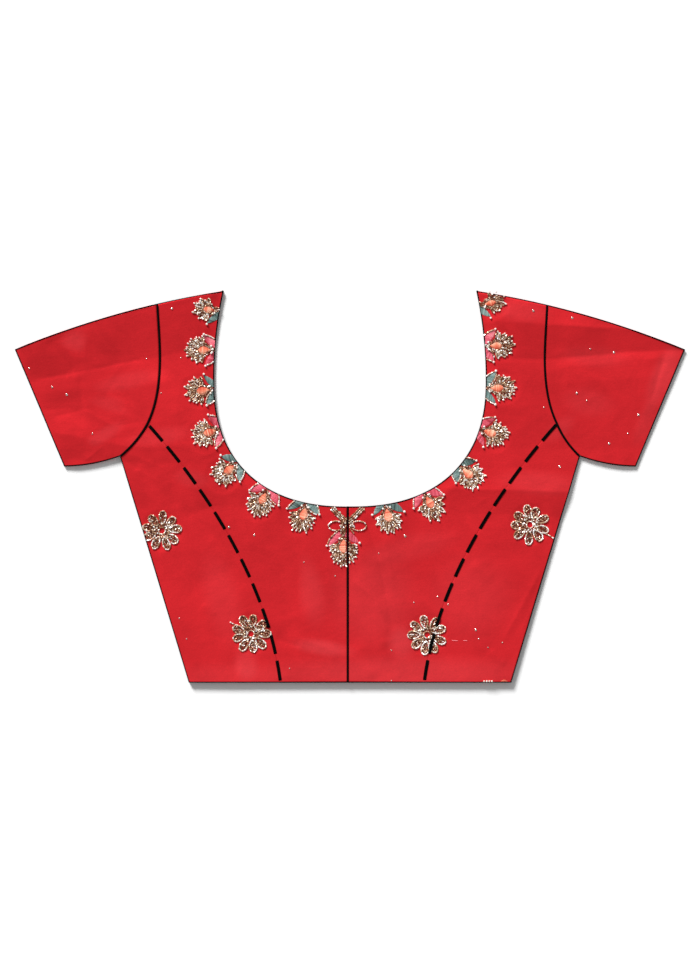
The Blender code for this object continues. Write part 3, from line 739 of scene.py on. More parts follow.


# The default base colour's green and blue are mostly a painted sheen, the satin's whitish reflection put into its
# colour; its red is the silk's own.
def silk_material(name, base=(0.613, 0.0205, 0.0266)):
    """Silk with a satin face: fine crossing yarns, a few slubs, a cloudy tone and gloss, and painted light and shade
    in soft places.
    """
    material, tree, shader = node_material(name)
    links = tree.links
    place = add(tree, "ShaderNodeTexCoord")
    base = np.array(base)

    cloud = add(tree, "ShaderNodeTexNoise", Scale=22.0, Detail=4.0, Roughness=0.6)
    cloud.inputs["Distortion"].default_value = 0.6
    links.new(place.outputs["Object"], cloud.inputs["Vector"])
    tone = ramp(
        tree,
        cloud.outputs["Fac"],
        [(0.32, tuple(base * 0.925)), (0.68, tuple(base * 1.075))],
    )

    slub_place = add(tree, "ShaderNodeMapping")
    slub_place.inputs["Scale"].default_value = (90.0, 1100.0, 90.0)
    links.new(place.outputs["Object"], slub_place.inputs["Vector"])
    slub = add(tree, "ShaderNodeTexNoise", Scale=1.0, Detail=2.0, Roughness=0.6)
    links.new(slub_place.outputs["Vector"], slub.inputs["Vector"])
    slub_tone = ramp(
        tree, slub.outputs["Fac"], [(0.4, (0.99, 0.99, 0.99)), (0.8, (1.03,) * 3)]
    )
    grain = add(tree, "ShaderNodeTexNoise", Scale=900.0, Detail=3.0, Roughness=0.7)
    links.new(place.outputs["Object"], grain.inputs["Vector"])
    grain_tone = ramp(
        tree, grain.outputs["Fac"], [(0.3, (0.91, 0.91, 0.91)), (0.7, (1.09,) * 3)]
    )
    mix = add(tree, "ShaderNodeMix", data_type="RGBA", blend_type="MULTIPLY")
    mix.inputs["Factor"].default_value = 1.0
    links.new(tone.outputs["Color"], mix.inputs["A"])
    links.new(slub_tone.outputs["Color"], mix.inputs["B"])
    mix2 = add(tree, "ShaderNodeMix", data_type="RGBA", blend_type="MULTIPLY")
    mix2.inputs["Factor"].default_value = 1.0
    links.new(mix.outputs["Result"], mix2.inputs["A"])
    links.new(grain_tone.outputs["Color"], mix2.inputs["B"])

    # painted light and shade: brighter and duller places, the brighter ones a little paler too, a painted sheen
    painted_shading_value = add(tree, "ShaderNodeAttribute", attribute_name="painted_shading")
    share = add(tree, "ShaderNodeMath", operation="ADD")
    links.new(painted_shading_value.outputs["Fac"], share.inputs[0])
    share.inputs[1].default_value = 1.0
    scaled = add(tree, "ShaderNodeVectorMath", operation="SCALE")
    links.new(mix2.outputs["Result"], scaled.inputs[0])
    links.new(share.outputs[0], scaled.inputs["Scale"])
    above = add(tree, "ShaderNodeMath", operation="MAXIMUM")
    links.new(painted_shading_value.outputs["Fac"], above.inputs[0])
    above.inputs[1].default_value = 0.0
    # the paler tint of the brighter places: a painted sheen
    pale = add(tree, "ShaderNodeVectorMath", operation="SCALE")
    pale.inputs[0].default_value = (0.0, 0.13, 0.14)
    links.new(above.outputs[0], pale.inputs["Scale"])
    total = add(tree, "ShaderNodeVectorMath", operation="ADD")
    links.new(scaled.outputs[0], total.inputs[0])
    links.new(pale.outputs[0], total.inputs[1])
    links.new(total.outputs[0], shader.inputs["Base Color"])

    gloss = add(tree, "ShaderNodeMapRange")
    gloss.inputs["To Min"].default_value = 0.5
    gloss.inputs["To Max"].default_value = 0.6
    links.new(cloud.outputs["Fac"], gloss.inputs["Value"])
    links.new(gloss.outputs["Result"], shader.inputs["Roughness"])

    # yarns: warp and weft 0.45 mm apart
    waves = []
    for axis in ("X", "Y"):
        wave = add(tree, "ShaderNodeTexWave", Scale=270.0)
        wave.bands_direction = axis
        wave.inputs["Distortion"].default_value = 0.6
        wave.inputs["Detail"].default_value = 1.0
        links.new(place.outputs["Object"], wave.inputs["Vector"])
        waves.append(wave)
    weave = add(tree, "ShaderNodeMath", operation="MAXIMUM")
    links.new(waves[0].outputs["Fac"], weave.inputs[0])
    links.new(waves[1].outputs["Fac"], weave.inputs[1])
    both = add(tree, "ShaderNodeMath", operation="ADD")
    links.new(weave.outputs[0], both.inputs[0])
    links.new(slub.outputs["Fac"], both.inputs[1])
    bump = add(tree, "ShaderNodeBump", Strength=0.2, Distance=0.0001)
    links.new(both.outputs[0], bump.inputs["Height"])
    soft = add(tree, "ShaderNodeTexNoise", Scale=150.0, Detail=6.0, Roughness=0.72)
    soft.inputs["Distortion"].default_value = 0.3
    links.new(place.outputs["Object"], soft.inputs["Vector"])
    bump2 = add(tree, "ShaderNodeBump", Strength=0.38, Distance=0.0005)
    links.new(soft.outputs["Fac"], bump2.inputs["Height"])
    links.new(bump.outputs["Normal"], bump2.inputs["Normal"])
    links.new(bump2.outputs["Normal"], shader.inputs["Normal"])
    shader.inputs["Metallic"].default_value = 0.45
    # dyed yarn shines in its own colour, also at a low angle
    shader.inputs["Specular IOR Level"].default_value = 0.03
    shader.inputs["Specular Tint"].default_value = (1.0, 0.2, 0.2, 1.0)
    shader.inputs["Sheen Weight"].default_value = 0.03
    shader.inputs["Sheen Roughness"].default_value = 0.45
    shader.inputs["Sheen Tint"].default_value = (1.0, 0.2, 0.2, 1.0)
    return material


def cord_material(name, colour, grain=2200.0, roughness=0.62):
    """Spun thread: fine fibre noise on a dark yarn."""
    material, tree, shader = node_material(name)
    links = tree.links
    place = add(tree, "ShaderNodeTexCoord")
    noise = add(tree, "ShaderNodeTexNoise", Scale=grain, Detail=2.0, Roughness=0.6)
    links.new(place.outputs["Object"], noise.inputs["Vector"])
    c = np.array(colour)
    tone = ramp(
        tree,
        noise.outputs["Fac"],
        [(0.3, tuple(c * 0.6)), (0.75, tuple(c * 1.7))],
    )
    links.new(tone.outputs["Color"], shader.inputs["Base Color"])
    bump = add(tree, "ShaderNodeBump", Strength=0.35, Distance=0.0001)
    links.new(noise.outputs["Fac"], bump.inputs["Height"])
    links.new(bump.outputs["Normal"], shader.inputs["Normal"])
    shader.inputs["Roughness"].default_value = roughness
    shader.inputs["Specular IOR Level"].default_value = 0.025
    return material


def tone_material(name, stops, roughness, metallic=0.0, level=0.5, sheen=0.0):
    """A material whose colour follows the tone that each small piece carries."""
    material, tree, shader = node_material(name)
    links = tree.links
    tone = add(tree, "ShaderNodeAttribute", attribute_name="tone")
    place = add(tree, "ShaderNodeTexCoord")
    noise = add(tree, "ShaderNodeTexNoise", Scale=1500.0, Detail=1.0, Roughness=0.5)
    links.new(place.outputs["Object"], noise.inputs["Vector"])
    spread = add(tree, "ShaderNodeMath", operation="MULTIPLY_ADD")
    links.new(noise.outputs["Fac"], spread.inputs[0])
    spread.inputs[1].default_value = 0.24
    spread.inputs[2].default_value = -0.12
    total = add(tree, "ShaderNodeMath", operation="ADD")
    links.new(tone.outputs["Fac"], total.inputs[0])
    links.new(spread.outputs[0], total.inputs[1])
    colour = ramp(tree, total.outputs[0], stops)
    links.new(colour.outputs["Color"], shader.inputs["Base Color"])
    bump = add(tree, "ShaderNodeBump", Strength=0.2, Distance=0.00008)
    links.new(noise.outputs["Fac"], bump.inputs["Height"])
    links.new(bump.outputs["Normal"], shader.inputs["Normal"])
    shader.inputs["Roughness"].default_value = roughness
    shader.inputs["Metallic"].default_value = metallic
    shader.inputs["Specular IOR Level"].default_value = level
    if sheen:
        shader.inputs["Sheen Weight"].default_value = sheen
    return material


silk = silk_material("red_raw_silk")
black_cord = cord_material("black_cotton_cord", (0.0026, 0.0025, 0.0026), roughness=0.9)
black_thread = cord_material("black_thread", (0.0024, 0.0023, 0.0024), 3000.0, 0.9)
coral_floss = tone_material(
    "coral_floss",
    [
        (0.0, linear(196, 52, 36)),
        (0.3, linear(226, 104, 74)),
        (0.6, linear(242, 150, 118)),
        (1.0, linear(255, 205, 176)),
    ],
    0.5,
    level=0.3,
    sheen=0.1,
)
teal_floss = tone_material(
    "teal_floss",
    [(0.0, linear(52, 62, 58)), (0.5, linear(112, 138, 134)), (1.0, linear(172, 190, 184))],
    0.5,
    level=0.3,
    sheen=0.1,
)
pink_floss = tone_material(
    "pink_floss",
    [(0.0, linear(170, 34, 52)), (0.5, linear(228, 98, 118)), (1.0, linear(248, 166, 172))],
    0.5,
    level=0.3,
    sheen=0.1,
)
bead_metal = tone_material(
    "cut_beads",
    [
        # the darkest tone, carried by the beads sunk in the gaps, is painted shade between the beads
        (0.0, (0.14, 0.04, 0.02)),
        (0.3, (0.38, 0.19, 0.10)),
        (0.58, (0.60, 0.42, 0.28)),
        (0.8, (0.92, 0.83, 0.72)),
        (1.0, (1.0, 0.98, 0.95)),
    ],
    0.3,
    metallic=0.4,
)
sequin_metal = tone_material(
    "sequin_foil",
    [(0.0, (0.85, 0.62, 0.52)), (1.0, (0.98, 0.92, 0.88))],
    0.22,
    metallic=1.0,
)


# ------------------------------------------------------------------ cloth panels
INSET = 0.5  # cloth stops this far inside the outline, within its overcast edge
CORD_SEAT = 0.9  # and this far from the middle of a piping cord
SEAM_HALF = 0.0
N_ALONG_UP, N_ALONG_LOW, N_DOWN = 90, 60, 198
CENTRE_ACROSS = np.concatenate([np.linspace(0, 0.97, 82), [0.985, 0.994, 1.0]])
SIDE_ACROSS = np.concatenate([[0.0, 0.006, 0.015, 0.03], np.linspace(0.05, 1.0, 60)])
pieces = {}


def seam_dip(points, side):
    """The shallow furrow along a princess seam."""
    seam = to_side(princess_line(160), side, SEAM_SHIFT)
    p = np.asarray(points, float)
    best = np.full(len(p), 1e9)
    for a, b in zip(seam[:-1:2], seam[2::2]):
        d = b - a
        t = np.clip(((p - a) @ d) / (d @ d), 0, 1)
        best = np.minimum(best, np.hypot(*(p - a - t[:, None] * d).T))
    return -0.08 * np.exp(-((best / 0.9) ** 2))


def front_shell(name, grid, side):
    shape = grid.shape[:2]
    flat = grid.reshape(-1, 2)
    base = front_base(flat)
    dip = seam_dip(flat, side)
    points, faces = shell(
        grid, (base + WALL + dip).reshape(shape), base.reshape(shape)
    )
    # painted light and shade, kept on the points for the silk's colour
    shown = {"painted_shading": painted_shading(points[:, :2])}
    obj = make(name, points, [outward(points, faces)], silk, shown)
    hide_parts(name[: -len("_cloth")])
    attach(obj, "root")
    pieces[name] = obj
    return obj


def plan_area(grid):
    a, b = grid[:-1, :-1], grid[1:, :-1]
    c, d = grid[1:, 1:], grid[:-1, 1:]
    p, q = c - a, d - b
    return float(np.abs(p[..., 0] * q[..., 1] - p[..., 1] * q[..., 0]).sum() / 2)


def centre_panel(side, side_name):
    edge_x = side * (CENTRE_X + side * CORD_SEAT)
    neck = cut_start(offset(neck_line(edge_x), -INSET), INSET)
    neck[-1, 0] = edge_x
    total = N_ALONG_UP + N_DOWN
    n_neck = int(total * 0.62)
    neck = spaced(neck, n_neck)
    edge = spaced([neck[-1], (edge_x, HEM + INSET)], total - n_neck)
    inner = to_side(np.vstack([neck, edge[1:]]), side)
    arm = armhole_stations(N_ALONG_UP, N_ALONG_LOW)
    seat = offset(arm, CORD_SEAT)[: N_ALONG_UP + 1]
    seam = princess_line()
    clear = crossing_length(
        arm[N_ALONG_UP + 1] - arm[N_ALONG_UP - 1], seam[3] - seam[0], CORD_SEAT
    )
    seam = offset(spaced(cut_start(seam, clear), N_DOWN), SEAM_HALF)
    seam[-1, 1] = HEM + INSET
    step = shoulder_line(ARMHOLE_TOP_X - 10, ARMHOLE_TOP_X, 1)
    away = crossing_length(arm[1] - arm[0], step[1] - step[0], CORD_SEAT)
    tip_x = ARMHOLE_TOP_X - away
    seat[0] = (tip_x, float(shoulder_y(tip_x)) - INSET)
    seat[-1] = seam[0]
    outer = to_side(np.vstack([seat, seam[1:]]), side, SEAM_SHIFT)
    v = CENTRE_ACROSS
    top_x = inner[0][0] + (outer[0][0] - inner[0][0]) * v
    top_y = shoulder_y(side * (top_x - v * SEAM_SHIFT)) - INSET
    top_y += (inner[0][1] - top_y[0]) * (1 - v)
    top = np.stack([top_x, top_y], axis=1)
    low = at_shares([inner[-1], outer[-1]], v)
    grid = coons(inner, outer, top, low, v)
    obj = front_shell(f"front_centre_{side_name}_cloth", grid, side)


def side_panel(side, side_name):
    arm = armhole_stations(N_ALONG_UP, len(SIDE_ACROSS) - 1)
    seam = princess_line()
    clear = crossing_length(
        arm[N_ALONG_UP + 1] - arm[N_ALONG_UP - 1], seam[3] - seam[0], CORD_SEAT
    )
    seam = offset(spaced(cut_start(seam, clear), N_DOWN), -SEAM_HALF)
    seam[-1, 1] = HEM + INSET
    edge = offset(np.array([UNDERARM, (HEM_HALF, HEM)]), INSET)
    away = crossing_length(arm[-1] - arm[-2], edge[1] - edge[0], CORD_SEAT)
    outer = spaced(cut_start(edge, away), N_DOWN)
    outer[-1, 1] = HEM + INSET
    seat = at_shares(offset(arm, CORD_SEAT)[N_ALONG_UP:], SIDE_ACROSS)
    seat[0], seat[-1] = seam[0], outer[0]
    inner = to_side(seam, side, SEAM_SHIFT)
    fade = 1 - SIDE_ACROSS
    top = to_side(seat, side) + np.stack([SEAM_SHIFT * fade, 0 * fade], axis=1)
    outer = to_side(outer, side)
    low = at_shares([inner[-1], outer[-1]], SIDE_ACROSS)
    grid = coons(inner, outer, top, low, SIDE_ACROSS)
    obj = front_shell(f"front_side_{side_name}_cloth", grid, side)


def back_relief(points):
    """Creases pressed into the back's underside, as shallow hollows above the surface it lies on."""
    p = np.asarray(points, float)
    x, y = p[:, 0], p[:, 1]
    low = ripples(x, y, 21, 60.0, 0.13) + 0.8 * crease_height(x, y, SMALL_BACK)
    for x0, y0, x1, y1, height, width in BACK_CREASES:
        d, t, _ = segment_fields(x, y, x0, y0, x1, y1)
        end = smooth((t + 0.12) / 0.3) * smooth((1.12 - t) / 0.3)
        low += height * end * np.exp(-np.sqrt(d * d + 0.8) / width)
    return low * smooth(edge_distance(p) / 14.0)


BACK_CREASES = [  # x0, y0, x1, y1, height, width
    (-190.0, 60.0, -60.0, -52.0, 0.42, 7.0),
    (-60.0, -52.0, 40.0, -96.0, 0.4, 7.0),
    (180.0, 20.0, 92.0, -70.0, 0.4, 6.0),
    (-170.0, -20.0, -95.0, -120.0, 0.36, 7.0),
    (30.0, -60.0, 140.0, -150.0, 0.4, 8.0),
    (-120.0, -150.0, 20.0, -172.0, 0.34, 6.0),
    (150.0, 170.0, 182.0, 90.0, 0.34, 6.0),
    (-160.0, 150.0, -186.0, 88.0, 0.34, 6.0),
]


def back_piece():
    halves = []
    n_seat, n_neck, n_rows = 72, 102, 174
    for side in (-1, 1):
        neck = cut_start(offset(neck_line(0.0, wider=BACK_NECK_WIDER), -INSET), INSET)
        neck[-1, 0] = 0.0
        neck = spaced(neck, n_neck)
        centre = spaced([neck[-1], (0.0, HEM + INSET)], n_rows - n_neck)
        inner = to_side(np.vstack([neck, centre[1:]]), side)
        arm = spaced(armhole_line(np.linspace(0, 1, 500)), n_seat)
        seat = offset(arm, CORD_SEAT)
        edge = offset(np.array([UNDERARM, (HEM_HALF, HEM)]), INSET)
        away = crossing_length(arm[-1] - arm[-2], edge[1] - edge[0], CORD_SEAT)
        outer = spaced(cut_start(edge, away), n_rows - n_seat)
        outer[-1, 1] = HEM + INSET
        step = shoulder_line(ARMHOLE_TOP_X - 10, ARMHOLE_TOP_X, 1)
        gone = crossing_length(arm[1] - arm[0], step[1] - step[0], CORD_SEAT)
        tip_x = ARMHOLE_TOP_X - gone
        seat[0] = (tip_x, float(shoulder_y(tip_x)) - INSET)
        seat[-1] = outer[0]
        # the armhole's shift towards +X dies away below the princess seam
        share = lengths(arm) / lengths(arm)[-1]
        turn = (N_SHARE - share) / (N_SHARE - 1.0)
        shift = np.where(share < N_SHARE, 1.0, 1 - np.clip(turn, 0, 1))
        seat = to_side(seat, side)
        seat[:, 0] += SEAM_SHIFT * shift
        outer = np.vstack([seat, to_side(outer, side)[1:]])
        m = 60
        v = np.linspace(0, 1, m + 1)
        top_x = inner[0][0] + (outer[0][0] - inner[0][0]) * v
        top_y = shoulder_y(side * (top_x - v * SEAM_SHIFT)) - INSET
        top_y += (inner[0][1] - top_y[0]) * (1 - v)
        top = np.stack([top_x, top_y], axis=1)
        low = spaced([inner[-1], outer[-1]], m)
        halves.append(coons(inner, outer, top, low))
    parts, area = [], 0.0
    for grid in halves:
        shape = grid.shape[:2]
        flat = grid.reshape(-1, 2)
        relief = back_relief(flat)
        low = np.clip(relief, 0, 0.45).reshape(shape)
        high = np.clip(WALL - 0.05 + 0.5 * relief, 0.7, WALL + 0.1).reshape(shape)
        points, faces = shell(grid, low, high)  # its underside shows
        # no wall along the centre line, where the halves are one cloth
        on_line = np.abs(points[:, 0]) < 1e-6
        faces = [
            f
            for f in faces
            if not (
                all(on_line[k] for k in f) and np.ptp([points[k, 2] for k in f]) > 0.3
            )
        ]
        parts.append((points, faces))
        area += plan_area(grid)
    points, faces = joined(parts)
    obj = make("back_cloth", points, [faces], silk)
    import bmesh

    bm = bmesh.new()
    bm.from_mesh(obj.data)
    bmesh.ops.remove_doubles(bm, verts=bm.verts, dist=1e-6)
    bm.to_mesh(obj.data)
    bm.free()
    obj.data.shade_smooth()
    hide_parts("back")
    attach(obj, "root")


_arm = armhole_line(np.linspace(0, 1, 500))
N_SHARE = float(
    np.interp(
        np.interp(PRINCESS_AT, np.linspace(0, 1, 500), lengths(_arm)),
        lengths(_arm),
        lengths(_arm) / lengths(_arm)[-1],
    )
)


def armhole_shift(points):
    """How far the armhole is moved towards +X at each point of its line."""
    share = lengths(points) / lengths(points)[-1]
    return SEAM_SHIFT * np.where(
        share < N_SHARE, 1.0, 1 - (share - N_SHARE) / (1 - N_SHARE)
    )


def sleeve_piece(side, side_name):
    n_round, n_out = 126, 96
    arm = spaced(armhole_line(np.linspace(0, 1, 500)), n_round)
    head = offset(arm, -CORD_SEAT)
    step = shoulder_line(ARMHOLE_TOP_X, ARMHOLE_TOP_X + 10, 1)
    away = crossing_length(arm[1] - arm[0], step[1] - step[0], CORD_SEAT)
    tip_x = ARMHOLE_TOP_X + away
    head[0] = (tip_x, float(shoulder_y(tip_x)) - INSET)
    under = offset(underarm_line(60), -INSET)
    gone = crossing_length(arm[-1] - arm[-2], under[1] - under[0], CORD_SEAT)
    under = spaced(cut_start(under, gone), n_out)
    head[-1] = under[0]
    over = shoulder_line(tip_x, CUFF_HALF, 60)
    over[:, 1] -= INSET
    cuff_top = np.array([CUFF_HALF, float(shoulder_y(CUFF_HALF))])
    inward = np.array([CUFF_LOW[1] - cuff_top[1], cuff_top[0] - CUFF_LOW[0]])
    inward /= np.linalg.norm(inward)
    over[-1] += inward * INSET
    over = spaced(over, n_out)
    under[-1] += inward * INSET
    cuff = spaced([over[-1], under[-1]], n_round)
    grid = coons(over, under, head, cuff)
    n, m = grid.shape[:2]
    shift = armhole_shift(arm)
    grid[:, :, 0] *= side
    grid[:, :, 0] += shift[None, :] * np.linspace(1, 0, n)[:, None]
    flat = grid.reshape(-1, 2)
    base = front_base(flat).reshape(n, m)
    mid = Z_FRONT - GAP / 2
    under_relief = np.clip(back_relief(flat), 0, 0.4).reshape(n, m)

    def ring(i, inner):
        by, fold_by = (1.5, WALL) if inner else (0.55, 0.0)
        row = grid[i].copy()
        fold = [row[0].copy(), row[-1].copy()]
        for end, nxt, k in ((0, 1, 0), (-1, -2, 1)):
            d = grid[i][nxt] - grid[i][end]
            d = d / np.linalg.norm(d)
            row[end] = row[end] + d * by
            fold[k] = fold[k] + d * fold_by
        # keep the next points beyond the moved ends
        for end, nxt in ((0, 1), (-1, -2)):
            d = grid[i][nxt] - grid[i][end]
            step_length = np.linalg.norm(d)
            if step_length < by + 0.1:
                row[nxt] = row[end] + d / step_length * 0.3
        upper = base[i] + (0.0 if inner else WALL)
        lower = (WALL if inner else 0.0) + under_relief[i] * (0.6 if inner else 1.0)
        if inner:
            row, upper, lower = row[::COARSE], upper[::COARSE], lower[::COARSE]
        points = [(*fold[0], mid)]
        points += [(*p, z) for p, z in zip(row, upper)]
        points += [(*fold[1], mid)]
        points += [(*p, z) for p, z in zip(row[::-1], lower[::-1])]
        return points

    points, sizes = [], []
    rows_of = {False: range(n), True: range(0, n, COARSE)}
    for inner in (False, True):
        for i in rows_of[inner]:
            one = ring(i, inner)
            points += one
        sizes.append(len(one))
    points = np.array(points)
    per, few = sizes
    start = n * per
    faces = grid_faces(n, per, 0, flip=side > 0, wrap=True)
    faces += grid_faces(len(rows_of[True]), few, start, flip=side < 0, wrap=True)

    def matched(a, b):
        """The outer ring's points beside each stretch of the inner ring."""
        half = (m - 1) // COARSE
        stops = [0] + [1 + COARSE * k for k in range(half + 1)]
        stops += [m + 1] + [m + 2 + COARSE * k for k in range(half + 1)] + [per]
        for k in range(few):
            outer = [a + t % per for t in range(stops[k], stops[k + 1] + 1)]
            yield outer + [b + (k + 1) % few, b + k]

    last = start + (len(rows_of[True]) - 1) * few
    for a, b, flip in ((0, start, side > 0), ((n - 1) * per, last, side < 0)):
        for face in matched(a, b):
            faces.append(face[::-1] if flip else face)
    # painted light and shade, kept on the points for the silk's colour
    shown = {"painted_shading": painted_shading(points[:, :2])}
    faces = [outward(points, faces)]
    obj = make(f"sleeve_{side_name}_cloth", points, faces, silk, shown)
    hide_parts(f"sleeve_{side_name}")
    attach(obj, "root")


back_piece()
for side_name, side in (("right", -1), ("left", 1)):
    centre_panel(side, side_name)
    side_panel(side, side_name)
    sleeve_piece(side, side_name)


# ------------------------------------------------------------------ piping, edges and stitches
def rope(plies, lay, depth):
    """Section of a twisted cord: a lobe for each ply, turning once in each lay."""

    def shape(a, s):
        lobe = np.abs(np.cos(plies * (a - 2 * math.pi * s / lay) / 2))
        return 1 - depth + depth * lobe**0.7

    return shape


def whipped(pitch, depth):
    """Section of an edge that thread is wound over, once in each pitch."""

    def shape(a, s):
        return 1 - depth * (0.5 - 0.5 * np.cos(2 * math.pi * (s / pitch - a / 6.2832)))

    return shape


def finish_piece(obj, slot, *replaced):
    if replaced:
        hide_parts(*replaced)
    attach(obj, "root")
    return obj


def armhole_on(side, n):
    arm = spaced(armhole_line(np.linspace(0, 1, 500)), n)
    moved = to_side(arm, side)
    moved[:, 0] += armhole_shift(arm)
    return moved


def front_piping(side, side_name):
    line = trimmed(armhole_on(side, 420), 1.7, 0.8)
    z = Z_FRONT + lift(line) + fine(line) + PIPING_R + 0.05
    points, faces = sweep(
        np.column_stack([line, z]), PIPING_R, 14, rope(3, 5.2, 0.17)
    )
    obj = make(f"armhole_cord_front_{side_name}", points, [outward(points, faces)], black_cord)
    finish_piece(obj, "black_piping_cord", f"armhole_piping_front_{side_name}")


def back_piping(side, side_name):
    line = trimmed(armhole_on(side, 300), 0.4, 0.8)
    z = np.full(len(line), BACK_PIPING_H / 2)
    points, faces = sweep(
        np.column_stack([line, z]),
        PIPING_R,
        12,
        rope(3, 5.2, 0.12),
        squash=BACK_PIPING_H / 2 / PIPING_R,
    )
    obj = make(f"armhole_cord_back_{side_name}", points, [outward(points, faces)], black_cord)
    finish_piece(obj, "black_piping_cord", f"armhole_piping_back_{side_name}")


def centre_piping():
    y = np.linspace(TOP - NECK_DEPTH + 0.2, HEM + 0.2, 480)
    line = np.stack([np.full_like(y, CENTRE_X), y], axis=1)
    z = Z_FRONT + lift(line) + fine(line) + EDGE_PIPING_R + 0.05
    points, faces = sweep(
        np.column_stack([line, z]), EDGE_PIPING_R, 14, rope(3, 4.8, 0.15)
    )
    obj = make("front_edge_cord", points, [outward(points, faces)], black_cord)
    finish_piece(obj, "black_piping_cord", "front_edge_piping")


for side_name, side in (("right", -1), ("left", 1)):
    front_piping(side, side_name)
    back_piping(side, side_name)
centre_piping()

EDGE_R = 0.62
NECK_EDGE_R = 0.85
STITCH = 1.5  # pitch of the overcast stitches


def edge_cord(line, low, high, per_mm=2.0, radius=EDGE_R):
    """The overcast edge of one or more layers, between two heights."""
    line = spaced(line, max(4, int(lengths(np.asarray(line, float))[-1] * per_mm)))
    flat = line[:, :2]
    lo = low(flat) if callable(low) else np.full(len(flat), low)
    hi = high(flat) if callable(high) else np.full(len(flat), high)
    sides = 7
    points, faces = sweep(
        np.column_stack([flat, 0 * lo]), radius, sides, whipped(STITCH, 0.12)
    )
    middle, half = np.repeat((lo + hi) / 2, sides), np.repeat((hi - lo) / 2, sides)
    points[:, 2] = middle + points[:, 2] / radius * half
    return points, faces


def overcast():
    """Black overcast stitches along every edge of the outline."""
    front_low = lambda p: front_base(p) - 0.12
    front_high = lambda p: front_top(p) + 0.3
    fold_low = lambda p: front_top(p) - 1.5
    fold_high = lambda p: front_top(p) + 0.45
    front, back = [], []
    for side in (-1, 1):
        neck = offset(neck_line(side * CENTRE_X + 0.9), -0.75)
        front.append(edge_cord(to_side(neck, side), front_low, front_high, radius=NECK_EDGE_R))
        back_neck = offset(neck_line(0.0, wider=BACK_NECK_WIDER), -0.5)
        back_neck[-1, 0] = 0.0
        back.append(edge_cord(to_side(back_neck, side), -0.0, WALL + 0.1))
        over = shoulder_line(NECK_HALF_TOP + 0.4, ARMHOLE_TOP_X + 2, 100)
        over[:, 1] -= 0.6
        front.append(edge_cord(to_side(over, side), 0.02, fold_high, radius=0.8))
        over = shoulder_line(ARMHOLE_TOP_X + 2, CUFF_HALF, 140)
        over[:, 1] -= 0.65
        front.append(edge_cord(to_side(over, side), fold_low, fold_high, radius=0.8))
        cuff_top = (CUFF_HALF, float(shoulder_y(CUFF_HALF)))
        cuff = offset(spaced([cuff_top, CUFF_LOW], 40), 0.5)
        front.append(edge_cord(to_side(cuff, side), front_low, front_high, radius=0.74))
        back.append(edge_cord(to_side(cuff, side), 0.0, WALL + 0.1))
        under = offset(underarm_line(60), -0.65)
        front.append(edge_cord(to_side(under, side), fold_low, fold_high, radius=0.75))
        seam = offset(spaced([UNDERARM, (HEM_HALF, HEM)], 80), 0.6)
        front.append(edge_cord(to_side(seam, side), 0.02, fold_high, radius=0.86))
        hem = spaced([(side * HEM_HALF, HEM + 0.5), (CENTRE_X, HEM + 0.5)], 60)
        front.append(edge_cord(hem, front_low, front_high))
    back.append(
        edge_cord([(-HEM_HALF, HEM + 0.5), (HEM_HALF, HEM + 0.5)], 0.0, WALL + 0.1)
    )
    points, faces = joined(front)
    finish_piece(
        make("overcast_edge_front", points, [faces], black_thread), "black_stitching"
    )
    points, faces = joined(back)
    finish_piece(
        make("overcast_edge_back", points, [faces], black_thread), "black_stitching"
    )


overcast()

BAR = 20.5  # length of one running stitch
BAR_WIDE = 3.3
BAR_PITCH = 27.0
BAR_STRANDS = 6
FIRST_BAR = {-1: (12.9, 2.6), 1: (12.4, 0.9)}  # from the armhole to its middle, and to its start
OVER_BEADS = [(-98.7, -146.7), (76.7, -147.7)]  # the flowers that the stitches pass over


def running_stitch():
    """The bars along the princess seams: six strands of thick black floss side by side, that go
    down through the cloth at both ends."""
    parts = []
    for side in (-1, 1):
        seam = to_side(princess_line(1200), side, SEAM_SHIFT)
        along = lengths(seam)
        first, first_start = FIRST_BAR[side]
        middle = first
        while middle - BAR / 2 < along[-1] - 3:
            start = first_start if middle == first else middle - BAR / 2
            end = min(middle + BAR / 2, along[-1] - 0.6)
            s = np.linspace(start, end, 24)
            x = np.interp(s, along, seam[:, 0])
            y = np.interp(s, along, seam[:, 1])
            line = np.stack([x, y], axis=1)
            for k in range(BAR_STRANDS):
                away = (k - (BAR_STRANDS - 1) / 2) * BAR_WIDE / BAR_STRANDS
                strand = offset(line, away)
                t = np.linspace(0, 1, len(strand))
                rise = np.minimum(1, np.minimum(t, 1 - t) * 14) ** 0.5
                crown = 0.16 * (1 - (2 * away / BAR_WIDE) ** 2)
                bed = np.zeros(len(strand))
                for fx, fy in OVER_BEADS:
                    far = np.hypot(strand[:, 0] - fx, strand[:, 1] - fy)
                    bed = np.maximum(bed, 1.15 * smooth((22.5 - far) / 3))
                z = front_top(strand) - 0.35 + rise * (0.62 + crown + bed)
                parts.append(
                    sweep(
                        np.column_stack([strand, z]),
                        BAR_WIDE / BAR_STRANDS / 2 * 1.08,
                        6,
                        rope(2, 2.4 + 0.1 * k, 0.12),
                    )
                )
            middle += BAR_PITCH
    points, faces = joined(parts)
    obj = make("princess_running_stitch", points, [faces], black_thread)
    finish_piece(obj, "black_stitching")


running_stitch()

# ------------------------------------------------------------------ embroidery
# The tables give places on the laid-out blouse in millimetres to the right of and below LAYOUT.
# Directions are in degrees, anticlockwise from +X.
LAYOUT = (-349.7, 486.75)
rng = np.random.default_rng(7)


def place(x, y):
    return np.array([LAYOUT[0] + x, LAYOUT[1] - y])


